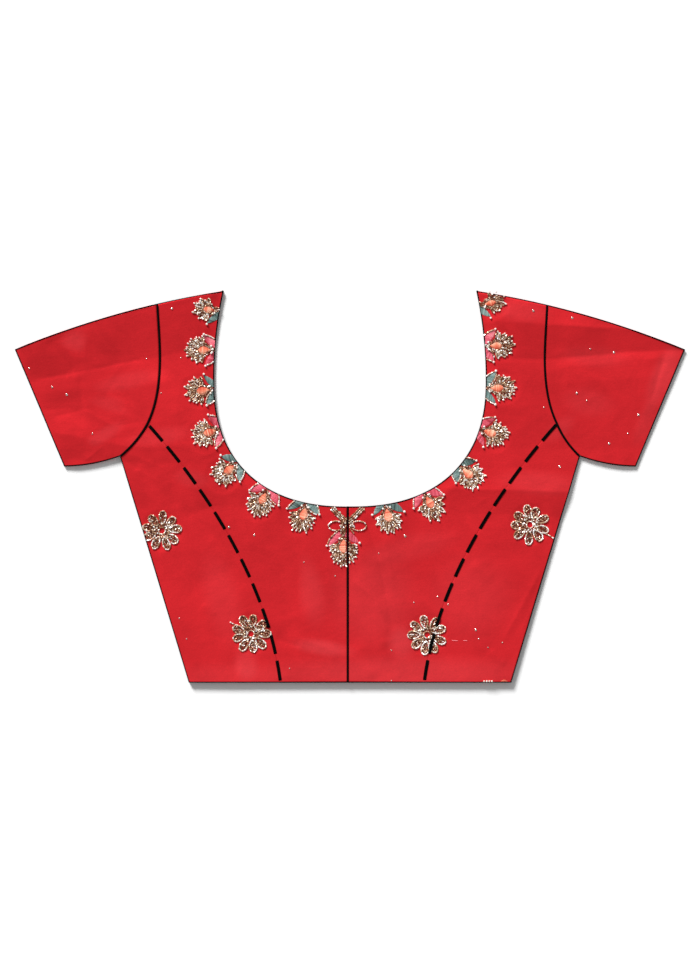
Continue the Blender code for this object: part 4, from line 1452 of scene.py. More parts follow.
def on_front(points, margin=1.0):
    """Whether each point lies on the front, clear of its edges and of the centre piping."""
    p = np.asarray(points, float)
    x, y = p[:, 0], p[:, 1]
    ax = np.abs(x)
    ok = (y < shoulder_y(ax) - margin) & (y > HEM + margin)
    ok &= ~((y > TOP - NECK_DEPTH) & (ax < neck_half(y)))
    ok &= edge_distance(p) > margin
    ok &= (np.abs(x - CENTRE_X) > 1.5) | (y > TOP - NECK_DEPTH + 4)
    return ok


def unit(angle):
    a = math.radians(angle)
    return np.array([math.cos(a), math.sin(a)])


class Beads:
    """Cut beads and round beads, gathered to be made into one mesh."""

    def __init__(self):
        self.rows = []  # x, y, direction, radius, length, tone, height above the cloth
        self.balls = []  # x, y, radius, tone

    def line(self, points, step, radius, tone, spread=0.25, keep=None, closed=False):
        points = np.asarray(points, float)
        total = lengths(points)[-1]
        n = max(2, int(round(total / step)))
        line = spaced(points, n)
        if closed:
            ahead = np.roll(line[:-1], -1, 0) - line[:-1]
            middle = line[:-1] + ahead / 2
        else:
            ahead = np.diff(line, axis=0)
            middle = (line[:-1] + line[1:]) / 2
        turn = np.arctan2(ahead[:, 1], ahead[:, 0]) + rng.normal(0, 0.1, len(middle))
        middle = middle + rng.normal(0, 0.07, middle.shape)
        ok = on_front(middle)
        if keep is not None:
            ok &= keep(middle)
        for (x, y), a in zip(middle[ok], turn[ok]):
            if self.rows:
                old = self.near
                gap = np.hypot(old[:, 0] - x, old[:, 1] - y)
                if gap.min() < 1.4 * radius:
                    continue
            r = radius * rng.uniform(0.88, 1.12)
            long = min(step, total / n) * rng.uniform(0.86, 1.02)
            shade = np.clip(tone + rng.normal(0, spread), 0, 1)
            self.rows.append((x, y, a, r, long, shade, rng.uniform(0.0, 0.2)))
            self.near = np.vstack([self.near, (x, y)])

    def fill(
        self, keep, centre, reach, step, radius, tone, spread=0.28, room=1.2, ray=True, low=False
    ):
        """Short beads strewn where keep() holds, clear of the beads that are there already; most
        of them point away from the centre."""
        n = int(reach / step) + 1
        gx, gy = np.meshgrid(np.arange(-n, n + 1), np.arange(-n, n + 1))
        p = np.stack([step * (gx + 0.5 * (gy % 2)), step * 0.87 * gy], axis=-1).reshape(-1, 2)
        p = centre + p + rng.uniform(-0.32, 0.32, p.shape) * step
        p = p[on_front(p) & keep(p)]
        for x, y in p:
            gap = np.hypot(self.near[:, 0] - x, self.near[:, 1] - y)
            if gap.min() < room:
                continue
            away = math.atan2(y - centre[1], x - centre[0]) if ray else rng.uniform(0, math.pi)
            r = radius * rng.uniform(0.85, 1.15)
            long = r * rng.uniform(2.3, 3.4)
            shade = np.clip(tone + rng.normal(0, spread), 0, 1)
            # low beads sit lower than the rest and carry the dark tone: painted shade in the gaps between beads
            rise = -0.15 if low else rng.uniform(0, 0.45)
            self.rows.append((x, y, away + rng.normal(0, 0.45), r, long, shade, rise))
            self.near = np.vstack([self.near, (x, y)])

    def start(self):
        """Forget the beads placed so far when looking for room for the next ones."""
        self.near = np.full((1, 2), 1e6)

    def ball(self, x, y, radius, tone):
        if on_front([(x, y)], margin=0.8)[0]:
            self.balls.append((x, y, radius, tone))
            self.near = np.vstack([self.near, (x, y)])

    def mesh(self):
        every = np.array(self.rows)
        big = every[:, 3] > 0.58
        parts, faces, tones, start = [], [], [], 0
        for rows, sides, place_at, size_at in (
            (every[big], 6, (-0.5, -0.3, 0.3, 0.5), (0.6, 1.0, 1.0, 0.6)),
            (every[~big], 5, (-0.5, 0.0, 0.5), (0.68, 1.0, 0.68)),
        ):
            x, y, a, r, long, tone, rise = rows.T
            place_at, size_at = np.array(place_at), np.array(size_at)
            rings = len(place_at)
            roll = rng.uniform(0, 2 * math.pi, len(rows))
            ring = roll[:, None] + np.arange(sides) * 2 * math.pi / sides
            z = front_top(rows[:, :2]) + r * 0.85 + rise
            along = long[:, None, None] * place_at[None, :, None]
            out = r[:, None, None] * size_at[None, :, None] * np.cos(ring)[:, None, :]
            up = r[:, None, None] * size_at[None, :, None] * np.sin(ring)[:, None, :]
            along = np.broadcast_to(along, out.shape)
            tip = rng.normal(0, 0.12, len(rows))[:, None, None]
            ca, sa = np.cos(a)[:, None, None], np.sin(a)[:, None, None]
            points = np.stack(
                [
                    x[:, None, None] + along * ca - out * sa,
                    y[:, None, None] + along * sa + out * ca,
                    z[:, None, None] + up + along * tip,
                ],
                axis=-1,
            ).reshape(-1, 3)
            per = rings * sides
            one = grid_faces(rings, sides, wrap=True, flip=True)
            one += [list(range(sides))[::-1], list(range((rings - 1) * sides, per))]
            one = outward(points[:per], one)
            for k in range(len(rows)):
                s = start + k * per
                faces += [[v + s for v in f] for f in one]
            parts.append(points)
            tones.append(np.repeat(tone, per))
            start += len(points)
        tones = np.concatenate(tones)
        for bx, by, br, bt in self.balls:
            p, f = ball_mesh(bx, by, float(front_top([(bx, by)])[0]) + br * 0.85, br)
            parts.append(p)
            faces += [[v + start for v in face] for face in outward(p, f)]
            tones = np.concatenate([tones, np.full(len(p), bt)])
            start += len(p)
        return np.vstack(parts), faces, tones


def ball_mesh(x, y, z, r, around=9, down=6):
    points = [(x, y, z + r)]
    for i in range(1, down):
        p = math.pi * i / down
        for k in range(around):
            a = 2 * math.pi * k / around
            points.append(
                (
                    x + r * math.sin(p) * math.cos(a),
                    y + r * math.sin(p) * math.sin(a),
                    z + r * math.cos(p),
                )
            )
    points.append((x, y, z - r))
    faces, last = [], len(points) - 1
    for k in range(around):
        q = (k + 1) % around
        faces.append([0, 1 + k, 1 + q])
        for i in range(down - 2):
            a, b = 1 + i * around, 1 + (i + 1) * around
            faces.append([a + k, b + k, b + q, a + q])
        b = 1 + (down - 2) * around
        faces.append([b + k, last, b + q])
    return np.array(points), faces


class Floss:
    """Satin stitches: strands of floss laid side by side."""

    def __init__(self):
        self.rows = []  # x0, y0, x1, y1, radius, arch, tone0, tone1

    def stitch(self, p0, p1, radius=0.25, arch=0.32, tone0=0.5, tone1=0.5):
        t = np.linspace(0, 1, 15)
        line = p0 + (p1 - p0) * t[:, None]
        ok = on_front(line, margin=0.9)
        if not ok.any():
            return
        # the longest run that lies on the front
        best, run, first = (0, 0), 0, 0
        for k, good in enumerate(list(ok) + [False]):
            if good:
                if run == 0:
                    first = k
                run += 1
            else:
                if run > best[1] - best[0]:
                    best = (first, first + run)
                run = 0
        a, b = best[0], best[1] - 1
        if np.linalg.norm(line[b] - line[a]) < 0.7:
            return
        self.rows.append((*line[a], *line[b], radius, arch, tone0, tone1))

    def mesh(self):
        rows = np.array(self.rows)
        t = np.array([0.0, 0.06, 0.2, 0.5, 0.8, 0.94, 1.0])
        rise = np.array([-0.5, 0.1, 0.66, 1.0, 0.66, 0.1, -0.5])
        thick = np.array([0.7, 0.95, 1.0, 1.0, 1.0, 0.95, 0.7])
        p0, p1 = rows[:, 0:2], rows[:, 2:4]
        radius, arch = rows[:, 4], rows[:, 5]
        line = p0[:, None] + (p1 - p0)[:, None] * t[None, :, None]
        z = front_top(line.reshape(-1, 2)).reshape(len(rows), len(t))
        z = z + radius[:, None] * 0.5 + arch[:, None] * rise[None]
        d = p1 - p0
        d = d / np.linalg.norm(d, axis=1)[:, None]
        side = np.stack([-d[:, 1], d[:, 0]], axis=1)
        sides = 5
        a = np.arange(sides) * 2 * math.pi / sides + math.pi / 2
        r = radius[:, None] * thick[None]
        flat = line[:, :, None] + (r[..., None] * np.cos(a))[..., None] * side[:, None, None]
        high = z[:, :, None] + r[..., None] * np.sin(a) * 0.85
        points = np.concatenate([flat, high[..., None]], axis=-1).reshape(-1, 3)
        one = grid_faces(len(t), sides, wrap=True, flip=True)
        one += [
            list(range(sides))[::-1],
            list(range((len(t) - 1) * sides, len(t) * sides)),
        ]
        one = outward(points[: len(t) * sides], one)
        faces, per = [], len(t) * sides
        for k in range(len(rows)):
            s = k * per
            faces += [[v + s for v in f] for f in one]
        tones = rows[:, 6, None] + (rows[:, 7] - rows[:, 6])[:, None] * t[None]
        return points, faces, np.repeat(tones.reshape(-1), sides)


def petal_loop(centre, angle, r0, r1, width):
    """A teardrop loop round a ray from a centre, its narrow end inwards."""
    t = np.linspace(0, 2 * math.pi, 60)
    v = r0 + (r1 - r0) * (1 - np.cos(t)) / 2
    u = width / 2 * np.sin(t) * np.abs(np.sin(t / 2)) ** 0.6 * 1.18
    a = math.radians(angle)
    ray, side = np.array([math.cos(a), math.sin(a)]), np.array([-math.sin(a), math.cos(a)])
    return centre + v[:, None] * ray + u[:, None] * side


def drop_half(s, width):
    """Half the width of a satin drop, from its tip at s = 0 to its round end at s = 1."""
    s = np.clip(s, 0, 1)
    return width / 2 * np.sin(math.pi * s**1.45) ** 0.62


def leaf_half(s, width):
    """Half the width of a leaf, wide at its base (s = 0) and pointed at its tip."""
    s = np.clip(s, 0, 1)
    taper = 1 - (np.clip(s - 0.4, 0, 1) / 0.6) ** 2
    return width / 2 * np.minimum(1, 0.68 + 1.2 * s) * np.clip(taper, 0, 1) ** 0.85


def in_loop(points, loop):
    """Whether each point lies inside a closed loop."""
    x, y = points[:, 0][:, None], points[:, 1][:, None]
    x0, y0, x1, y1 = loop[:-1, 0], loop[:-1, 1], loop[1:, 0], loop[1:, 1]
    rise = np.where(np.abs(y1 - y0) < 1e-9, 1e-9, y1 - y0)
    cross = ((y0 > y) != (y1 > y)) & (x < x0 + (x1 - x0) * (y - y0) / rise)
    return cross.sum(axis=1) % 2 == 1


def ray_loop(centre, angle, r0, r1, width):
    """A long narrow loop along a ray from a centre, widest two thirds of the way out."""
    t = np.linspace(0, 1, 26)
    half = width / 2 * np.sin(math.pi * t**1.35) ** 0.7
    half[0] = half[-1] = 0.0
    v = r0 + (r1 - r0) * t
    ray, side = unit(angle), unit(angle + 90)
    out = centre + v[:, None] * ray + half[:, None] * side
    back = centre + v[:, None] * ray - half[:, None] * side
    return np.vstack([out, back[::-1][1:]])


def satin_drop(floss, centre, length, width, tip_angle, shade):
    a = math.radians(tip_angle)
    ray, side = np.array([math.cos(a), math.sin(a)]), np.array([-math.sin(a), math.cos(a)])
    tip = centre + ray * length / 2
    n = int(length / 0.4)
    band = rng.normal(0, 0.16, n)
    for k in range(1, n):
        s = k / n
        h = float(drop_half(s, width)) + rng.uniform(-0.15, 0.15)
        if h < 0.35:
            continue
        lean = rng.uniform(-0.25, 0.25)
        p0 = tip - ray * (s * length + lean) + side * h
        p1 = tip - ray * (s * length - lean) - side * h
        # each stitch runs from darker on the left of the drop, as seen towards its tip, to lighter on the right, more
        # so for a larger shade: painted shade along that side
        mid = 0.6 + band[k // 3] + rng.normal(0, 0.05)
        floss.stitch(
            p0,
            p1,
            radius=0.27,
            arch=0.42 * min(1.0, h / 2.0),
            tone0=mid - shade * 0.5,
            tone1=mid + shade * 0.3,
        )


def satin_leaf(floss, base, tip, width, tone, slant=0.22):
    base, tip = np.asarray(base, float), np.asarray(tip, float)
    d = tip - base
    length = float(np.linalg.norm(d))
    ray = d / length
    side = np.array([-ray[1], ray[0]])
    n = int(length * (1 + slant) / 0.4)
    band = rng.normal(0, 0.13, n)
    for k in range(n):
        s = -slant / 2 + (1 + slant) * (k + 0.5) / n
        s0, s1 = s - slant / 2, s + slant / 2
        if s1 < 0.02 or s0 > 0.98:
            continue
        s0, s1 = max(s0, 0.0), min(s1, 1.0)
        p0 = base + ray * s0 * length + side * (leaf_half(s0, width) + rng.uniform(-0.2, 0.15))
        p1 = base + ray * s1 * length - side * (leaf_half(s1, width) + rng.uniform(-0.2, 0.15))
        shade = tone + band[k // 3] + rng.normal(0, 0.06)
        floss.stitch(
            p0, p1, radius=0.25, arch=0.28, tone0=shade - 0.1, tone1=shade + 0.12
        )


def leaf_edge(base, tip, width, which):
    """Edge of a leaf, its left one (+1) or right one (-1) as seen from its base."""
    base, tip = np.asarray(base, float), np.asarray(tip, float)
    d = tip - base
    length = float(np.linalg.norm(d))
    ray = d / length
    side = np.array([-ray[1], ray[0]]) * which
    s = np.linspace(0.06, 0.97, 30)
    return base + ray * (s * length)[:, None] + side * (leaf_half(s, width) + 0.85)[:, None]


# The fans round the neck are one traditional motif, set out by rule along the neck edge: a drop
# that points at the edge, a leaf on each side of it and a fan of loops behind. From each
# shoulder down, the leaves are teal and pink in turn.
FANS_A_SIDE = 7
# along the neck edge, from the shoulder to the first fan and from one to the next, for the
# wearer's right side (-1) and left side (1)
FAN_FIRST = {-1: 20.4, 1: 13.9}
FAN_STEP = {-1: 39.4, 1: 42.1}
FAN_IN = 11.0  # from the neck edge to the middle of the drop
FAN_SPREAD = 80.0  # degrees to each side
FAN_SHORT, FAN_LONG = 14.0, 20.5  # reach of the outer loops and of the middle ones
DROP_LENGTH, DROP_WIDTH = 13.0, 8.2
LEAF_APART = 4.2  # from the line of the drop to where a leaf starts
LEAF_REACH = 15.0  # and to its tip
LEAF_WIDTH = 6.6
MIDDLE_AT, MIDDLE_FACING, MIDDLE_SPREAD = (-6.5, -59.0), 91.0, 90.0
KNOT = (-2.7, -35.5)  # where the bands above the middle motif meet

# x and y of the centre, tone of the beads
ROUND_FLOWERS = [(-188, -44, 0.5), (-99, -147, 0.52), (77, -148, 0.58), (180, -38, 0.56)]
PETALS = 9
PETAL_MIDDLE = 15.3  # from the centre
# a short bead line that leaves a flower: x, y, direction, length, tone
FLOWER_TAILS = [(-110, -139, 160, 10, 0.75), (195, -47, -28, 9, 0.6), (-197, -34, 152, 4, 0.7)]


def fan(colour, at, facing, size=1.0, sides=(1, -1), loops=8, spread=FAN_SPREAD):
    """The parts of one fan. No two are quite alike."""
    at = np.asarray(at, float)
    u, v = unit(facing), unit(facing + 90)
    drop = (
        *at,
        DROP_LENGTH * size * rng.uniform(0.94, 1.06),
        DROP_WIDTH * size * rng.uniform(0.94, 1.06),
        facing,
        rng.uniform(0.2, 0.9),
    )
    leaves, balls = [], []
    for side in sides:
        base = at + u * FAN_IN + v * side * LEAF_APART * size
        reach = side * LEAF_REACH * size * rng.uniform(0.92, 1.08)
        end = at + u * rng.uniform(-0.5, 3.0) + v * reach
        width = LEAF_WIDTH * size * rng.uniform(0.85, 1.15)
        marks = ("", "o", "b", "o")[rng.integers(4)]
        leaves.append((*base, *end, width, rng.uniform(0.2, 0.6), marks))
        balls.append((*(end + v * side * 1.3), rng.uniform(1.0, 1.3)))
        balls.append((*(at + u * 7.0 * size + v * side * 3.6 * size), 1.0))
    rays = []
    for off in np.linspace(-spread, spread, loops):
        reach = FAN_SHORT + (FAN_LONG - FAN_SHORT) * math.cos(math.radians(off)) ** 2
        rays.append((facing + 180 + off, size * reach * rng.uniform(0.94, 1.06)))
    return colour, drop, leaves, at, rays, balls, rng.uniform(0.44, 0.62)


def neck_fans():
    line = neck_line(0.0)
    run = np.concatenate([[0.0], np.cumsum(np.linalg.norm(np.diff(line, axis=0), axis=1))])
    fans = []
    for side in (-1, 1):
        for k in range(FANS_A_SIDE):
            s = FAN_FIRST[side] + FAN_STEP[side] * k + rng.uniform(-1, 1)
            p, q = (np.array([np.interp(t, run, line[:, i]) for i in (0, 1)]) for t in (s - 1, s + 1))
            way = (q - p) / np.linalg.norm(q - p)
            inward = np.array([way[1] * side, -way[0]])
            at = (p + q) / 2 * (side, 1) - inward * FAN_IN
            facing = math.degrees(math.atan2(inward[1], inward[0])) + rng.uniform(-4, 4)
            colour = "pink" if k % 2 else "teal"
            if k == 0:
                # by the shoulder there is room for one leaf
                fans.append(fan(colour, at, facing, 0.85, (side,), 6))
            else:
                fans.append(fan(colour, at, facing, loops=int(rng.integers(7, 10))))
    fans.append(fan("pink", MIDDLE_AT, MIDDLE_FACING, 1.05, loops=10, spread=MIDDLE_SPREAD))
    return fans


def knot(along, up):
    return np.array([KNOT[0] + along, KNOT[1] + up])


def scrolls():
    """Bead lines above the middle motif, alike on both sides: a band of three lines up to the
    neck edge, a curl and a tendril. Also the lines along which the bands are filled."""
    rows = []
    fills = [[knot(-5.0, -4.0), knot(0, 0), knot(5.0, -4.0)]]
    for side in (-1, 1):
        for k in (-1, 0, 1):
            d = 1.9 * k
            band = [
                knot(side * (x + 0.69 * d), y - 0.72 * d) for x, y in ((0, 0), (7.0, 5.5), (14.5, 13.8))
            ]
            rows.append((band, 0.48 + 0.12 * k))
            if k == 0:
                fills.append(band)
        turn = np.radians(np.linspace(40, 320, 9))
        curl = [knot(side * (11.5 - 7.8 * math.cos(a)), -3.5 + 5.0 * math.sin(a)) for a in turn]
        rows.append((curl, 0.55))
        rows.append(([knot(0, -1.0), knot(side * 2.6, -6.0), knot(side * 7.0, -11.5)], 0.5))
    return rows, fills


LEAF_UNDER = 2.6  # how far a leaf's first stitches lie beyond its base
LEAF_WIDER = 1.06


def neck_motif(beads, flosses, motif):
    colour, drop, leaves, centre, rays, balls, tone = motif
    dx, dy, length, width, tip_angle, shade = drop
    drop_at = np.array([dx, dy])
    a = math.radians(tip_angle)
    ray, side = np.array([math.cos(a), math.sin(a)]), np.array([-math.sin(a), math.cos(a)])
    tip = drop_at + ray * length / 2

    def off_drop(points, room=0.35):
        q = np.asarray(points) - tip
        s = -(q @ ray) / length
        inside = (s > -0.03) & (s < 1.05)
        return ~(inside & (np.abs(q @ side) < drop_half(s, width) + room))

    # the leaves start under the neck edge
    leaf_lines = []
    for x0, y0, x1, y1, w, _, _ in leaves:
        base, end = np.array([x0, y0]), np.array([x1, y1])
        way = (base - end) / np.linalg.norm(base - end)
        leaf_lines.append((base + way * LEAF_UNDER, end, w * LEAF_WIDER))

    def off_all(points, room=0.2):
        ok = off_drop(points)
        for b, t, w in leaf_lines:
            d = t - b
            reach = np.linalg.norm(d)
            q = np.asarray(points) - b
            s = (q @ d) / reach**2
            u = np.abs(q @ np.array([-d[1], d[0]])) / reach
            ok &= ~((s > 0.0) & (s < 1.0) & (u < leaf_half(s, w) + room))
        return ok

    beads.start()
    for x, y, r in balls:
        beads.ball(x, y, r * 1.12, rng.uniform(0.9, 1.0))
    # bead line round the drop
    s = np.concatenate([np.linspace(0.1, 1, 30), np.linspace(1, 0.1, 30)])
    sign = np.repeat([1, -1], 30)
    ring = tip - ray * (s * length)[:, None] + side * (sign * (drop_half(s, width) + 0.6))[:, None]
    ring[28:32] -= ray * 0.7
    beads.line(ring, 1.7, 0.56, tone - 0.15, 0.3)
    for (b, t, w), (*_, marks) in zip(leaf_lines, leaves):
        mid = (b + t) / 2 - centre
        d = t - b
        inner_side = 1 if mid[0] * d[1] - mid[1] * d[0] > 0 else -1
        edges = {
            "i": [inner_side], "o": [-inner_side], "b": [1, -1], "l": [1], "r": [-1], "": [],
        }[marks]
        for which in edges:
            beads.line(leaf_edge(b, t, w, which), 2.0, 0.68, tone + 0.15, 0.3, keep=off_drop)
    # narrow loops along the rays, a bright bead at the tip of most of them
    angles = [angle for angle, _ in rays]
    turns = [(q - p + 180) % 360 - 180 for p, q in zip(angles, angles[1:])]
    gap = float(np.median(np.abs(turns)))
    wide = min(3.4, 15.0 * math.radians(gap) * 0.46)
    fans = [(angle + rng.normal(0, 1.5), reach, wide, 0.75) for angle, reach in rays]
    for (a0, r0), turn, (_, r1) in zip(rays, turns, rays[1:]):
        reach = (r0 + r1) / 2 - rng.uniform(1.0, 2.8)
        fans.append((a0 + turn / 2 + rng.normal(0, 1.5), reach, wide * 0.8, 0.5))
    loops = []
    for angle, reach, w, often in fans:
        loops.append(ray_loop(centre, angle, 4.4, reach - 0.7, w * rng.uniform(0.9, 1.12)))
        end = centre + unit(angle) * (reach - rng.uniform(0.6, 1.2))
        if off_all([end])[0] and rng.uniform() < often:
            beads.rows.append(
                (*end, math.radians(angle) + rng.normal(0, 0.3), 0.8, 1.9, rng.uniform(0.75, 1), 0.2)
            )
            beads.near = np.vstack([beads.near, end])
    for loop in loops:
        beads.line(loop, 2.05, 0.66, tone - 0.02, 0.34, keep=off_all)

    def in_rays(points):
        ok = np.zeros(len(points), bool)
        for loop in loops:
            ok |= in_loop(points, loop)
        return ok & off_all(points)

    beads.fill(in_rays, centre, 24.0, 1.2, 0.5, tone - 0.18, 0.3, room=1.05)
    # and between them, as far as their middle
    spans = []
    for (a0, r0), turn, (_, r1) in zip(rays, turns, rays[1:]):
        spans.append((a0 + turn / 2, abs(turn) / 2, (r0 + r1) / 2 - 5.2))

    def between(points):
        q = points - centre
        far = np.hypot(q[:, 0], q[:, 1])
        at = np.degrees(np.arctan2(q[:, 1], q[:, 0]))
        ok = np.zeros(len(points), bool)
        for middle, half, reach in spans:
            away = np.abs((at - middle + 180) % 360 - 180)
            ok |= (away <= half) & (far < reach + rng.uniform(-0.5, 1.5, len(far)))
        return ok & off_all(points, 0.5)

    beads.fill(between, centre, 24.0, 1.4, 0.56, tone - 0.1, 0.34, room=1.2)

    # beads from the tip of the drop to the neck edge, between the leaves
    def at_tip(points):
        q = points - tip
        s, u = q @ ray, np.abs(q @ side)
        return (s > -1.5) & (s < 9.0) & (u < 3.0) & off_all(points, 0.3)

    beads.fill(at_tip, tip, 10.0, 1.4, 0.58, tone - 0.1, 0.34, room=1.15)

    # and round the drop
    def beside(points):
        q = points - tip
        s, u = -(q @ ray) / length, np.abs(q @ side)
        near = (s > -0.05) & (s < 1.1) & (u < drop_half(s, width) + 3.4)
        return near & off_all(points, 0.3)

    beads.fill(beside, drop_at, 14.0, 1.4, 0.56, tone - 0.14, 0.34, room=1.15)

    # dark beads sunk low in the gaps that are left: painted shade between the beads
    def anywhere(points):
        return in_rays(points) | between(points) | at_tip(points) | beside(points)

    beads.fill(anywhere, centre, 24.0, 0.95, 0.46, 0.02, 0.05, room=0.72, low=True)
    satin_drop(flosses["coral"], drop_at, length, width, tip_angle, shade)
    for (b, t, w), (*_, leaf_tone, _) in zip(leaf_lines, leaves):
        satin_leaf(flosses[colour], b, t, w, leaf_tone)


def round_flower(beads, centre, tone):
    centre = np.array(centre, float)
    beads.start()
    turn = rng.uniform(0, 40)
    ring = centre + 3.5 * np.array([unit(turn + 10 * k) for k in range(37)])
    beads.line(ring, 1.9, 0.7, tone + 0.05, 0.3)
    loops = []
    for k in range(PETALS):
        angle = turn + 360 / PETALS * k + rng.uniform(-4, 4)
        reach = PETAL_MIDDLE + 4.8 + rng.uniform(-0.9, 0.9)
        w = rng.uniform(6.8, 8.0)
        # petals towards the lower right get lighter beads and those towards the upper left darker ones: painted light
        # and shade across each flower
        light = tone + 0.1 * math.cos(math.radians(angle + 50))
        loop = petal_loop(centre, angle, 6.4, reach - 0.7, w)
        beads.line(loop, 2.15, 0.78, light + 0.12, 0.28, closed=True)
        loops.append(petal_loop(centre, angle, 7.4, reach - 1.6, w - 1.3))

    def in_petals(points):
        ok = np.zeros(len(points), bool)
        for loop in loops:
            ok |= in_loop(points, loop)
        return ok

    def around(points):
        far = np.hypot(*(points - centre).T)
        return (far > 4.2) & (far < 9.6 + rng.uniform(-0.8, 0.8, len(far)))

    beads.fill(in_petals, centre, 22.0, 1.5, 0.54, tone - 0.14, 0.32, room=1.3)
    beads.fill(around, centre, 12.0, 1.6, 0.62, tone - 0.04, 0.34, room=1.35, ray=False)
    # dark beads sunk low in the gaps: painted shade between the beads
    beads.fill(
        lambda p: in_petals(p) | around(p), centre, 22.0, 1.0, 0.46, 0.02, 0.05, room=0.76, low=True
    )


def embroider():
    flosses = {"coral": Floss(), "teal": Floss(), "pink": Floss()}
    neck = Beads()
    for motif in neck_fans():
        neck_motif(neck, flosses, motif)
    neck.start()
    rows, fills = scrolls()
    for points, tone in rows:
        neck.line(smooth_line(points), 1.95, 0.7, tone + 0.02, 0.3)
    for band in fills:
        line = smooth_line(band)

        def on_band(points):
            gap = np.min([np.hypot(*(points - q).T) for q in spaced(line, 24)], axis=0)
            return gap < 2.9

        middle = line[len(line) // 2]
        neck.fill(on_band, middle, 16.0, 1.5, 0.6, 0.5, 0.34, room=1.25, ray=False)
        # dark beads sunk low in the gaps: painted shade between the beads
        neck.fill(on_band, middle, 16.0, 1.0, 0.46, 0.02, 0.05, room=0.78, low=True)
    flowers = Beads()
    for x, y, tone in ROUND_FLOWERS:
        round_flower(flowers, (x, y), tone)
    for x, y, way, length, tone in FLOWER_TAILS:
        u, v = unit(way), unit(way + 90)
        points = [np.array([x, y]) + u * length * t + v * length * 0.3 * t * (1 - t) for t in (0, 0.5, 1)]
        flowers.line(smooth_line(points), 1.6, 0.6, tone)
        flowers.ball(*points[-1], 0.9, 0.95)
    # the top of a motif that the hem cuts across
    flowers.start()
    for k in range(4):
        flowers.ball(134.0 + 2.6 * k, HEM + 1.5, 1.0, rng.uniform(0.75, 1.0))
    for k in range(7):
        x = 500.4 + k * 0.95
        flosses["coral"].stitch(place(x - 0.8, 684.0), place(x + 0.5, 679.6 + 0.12 * (k - 3) ** 2))
    for name, beads in (("neck_cut_beads", neck), ("flower_cut_beads", flowers)):
        points, faces, tones = beads.mesh()
        obj = make(name, points, [faces], bead_metal, {"tone": tones}, flat=True)
        finish_piece(obj, "zari_beads")
    for colour, material in (("coral", coral_floss), ("teal", teal_floss), ("pink", pink_floss)):
        if colour == "pink":
            # loose ends of pink thread beside the flower on the left front
            for x0, x1, y in ((451.6, 457.6, 640.4), (463.0, 467.0, 640.4)):
                flosses["pink"].stitch(place(x0, y), place(x1, y + 0.3), 0.22, 0.1, 0.9, 0.9)
        points, faces, tones = flosses[colour].mesh()
        obj = make(f"{colour}_satin_stitch", points, [faces], material, {"tone": tones})
        finish_piece(obj, f"{colour}_silk_thread")


def smooth_line(points, rounds=3):
    """Corner cutting, that keeps the ends."""
    p = np.asarray(points, float)
    for _ in range(rounds):
        a, b = p[:-1], p[1:]
        mids = np.stack([0.75 * a + 0.25 * b, 0.25 * a + 0.75 * b], 1).reshape(-1, 2)
        p = np.vstack([p[:1], mids[1:-1], p[-1:]])
    return p


SEQUINS = [  # x, y, radius
    (532.9, 311.0, 1.1), (571.8, 318.1, 1.15), (613.6, 352.4, 1.15), (576.3, 393.2, 1.1),
    (638.2, 414.8, 1.2), (608.8, 443.5, 1.15), (559.4, 466.7, 1.1), (475.4, 629.9, 1.1),
    (228.6, 527.1, 1.1), (253.9, 535.2, 1.0), (66.6, 394.8, 1.15), (171.8, 308.7, 1.1),
    (52.0, 387.2, 0.95), (404.9, 536.2, 1.2), (437.4, 520.5, 1.0),
    (586.3, 400.5, 0.7), (543.5, 407.3, 0.7), (627.4, 433.3, 0.75), (590.0, 349.0, 0.7),
    (29.0, 368.5, 0.7), (180.7, 357.7, 0.7), (92.2, 433.9, 0.7), (160.8, 393.0, 0.65),
    (146.0, 358.5, 0.65), (334.8, 575.8, 0.7), (437.3, 596.6, 0.65), (413.6, 602.4, 0.65),
    (447.6, 604.5, 0.65), (391.2, 650.3, 0.65), (391.0, 680.4, 0.65), (501.9, 642.4, 0.75),
    (487.6, 647.3, 0.7), (178.9, 618.2, 0.65), (186.4, 638.8, 0.65), (289.3, 668.2, 0.65),
    (303.4, 562.2, 0.65), (378.4, 553.3, 0.65), (478.4, 638.8, 0.7),
]


def sequins():
    """Small cupped discs, each held by a seed bead."""
    parts, tones = [], []
    for x, y, r in SEQUINS:
        cx, cy = place(x, y)
        tilt, way = rng.uniform(0.05, 0.2), rng.uniform(0, 2 * math.pi)
        z = float(front_top([(cx, cy)])[0])
        points = []
        for radius, up in ((r, 0.26), (r, 0.36), (r * 0.55, 0.26), (0.0, 0.24)):
            for k in range(12):
                a = 2 * math.pi * k / 12
                px, py = radius * math.cos(a), radius * math.sin(a)
                lean = tilt * (px * math.cos(way) + py * math.sin(way))
                points.append((cx + px, cy + py, z + up + lean))
        faces = grid_faces(4, 12, wrap=True) + [list(range(12))]
        parts.append((np.array(points), faces))
        tones += [rng.uniform(0.3, 1)] * len(points)
        seed, seed_faces = ball_mesh(cx, cy, z + 0.5, 0.3 + 0.12 * r, 7, 5)
        parts.append((seed, seed_faces))
        tones += [1.0] * len(seed)
    points, faces = joined(parts)
    obj = make("sequins", points, [faces], sequin_metal, {"tone": tones})
    finish_piece(obj, "sequins")


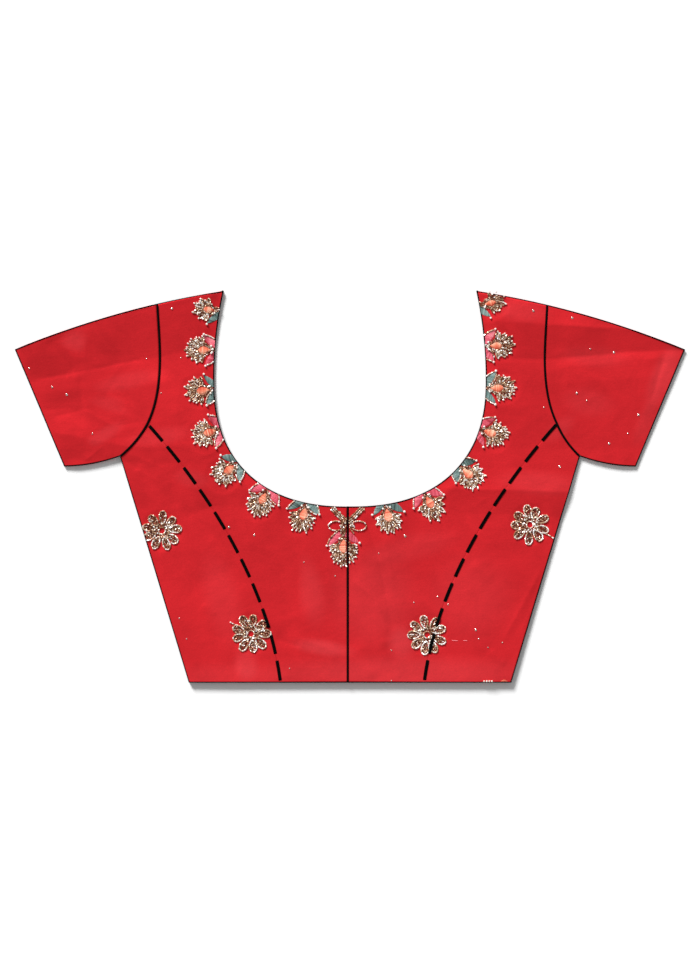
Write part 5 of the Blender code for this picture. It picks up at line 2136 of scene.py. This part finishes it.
embroider()
sequins()

# ------------------------------------------------------------------ floor, light and camera
floor_mesh = bpy.data.meshes.new("floor")
floor_mesh.from_pydata(
    [(-6, -6, -0.0002), (6, -6, -0.0002), (6, 6, -0.0002), (-6, 6, -0.0002)],
    [],
    [(0, 1, 2, 3)],
)
floor = bpy.data.objects.new("floor", floor_mesh)
bpy.context.scene.collection.objects.link(floor)
floor_mat, tree, shader = node_material("pale_floor")
speck = add(tree, "ShaderNodeTexNoise", Scale=40.0, Detail=3.0)
tone = ramp(tree, speck.outputs["Fac"], [(0.3, (0.9, 0.9, 0.9)), (0.7, (0.92, 0.92, 0.92))])
tree.links.new(tone.outputs["Color"], shader.inputs["Base Color"])
shader.inputs["Roughness"].default_value = 0.9
shader.inputs["Specular IOR Level"].default_value = 0.1
floor_mesh.materials.append(floor_mat)

world = bpy.data.worlds.new("studio")
bpy.context.scene.world = world
world.use_nodes = True
background = world.node_tree.nodes["Background"]
background.inputs["Color"].default_value = (1.0, 1.0, 1.0, 1.0)
background.inputs["Strength"].default_value = 0.36


def sun(name, direction, strength, angle):
    light = bpy.data.lights.new(name, "SUN")
    light.energy = strength
    light.angle = math.radians(angle)
    obj = bpy.data.objects.new(name, light)
    from mathutils import Vector

    obj.rotation_mode = "QUATERNION"
    obj.rotation_quaternion = Vector(direction).to_track_quat("Z", "Y")
    obj.location = Vector(direction) * 2
    bpy.context.scene.collection.objects.link(obj)
    return obj


sun("key", (-0.38, 0.79, 0.47), 5.65, 20)

camera_data = bpy.data.cameras.new("camera")
camera = bpy.data.objects.new("camera", camera_data)
bpy.context.scene.collection.objects.link(camera)
camera_data.lens = 100.0
camera_data.sensor_width = 36.0
FRAME_TALL = 976.0  # millimetres of the picture's long side, at the cloth
camera.location = (0.0, -1.25 * MM, FRAME_TALL * MM * 100 / 36 + 0.003)
camera.rotation_euler = (0, 0, 0)
bpy.context.scene.camera = camera
bpy.context.scene.view_settings.view_transform = "Standard"
bpy.context.scene.view_settings.look = "None"
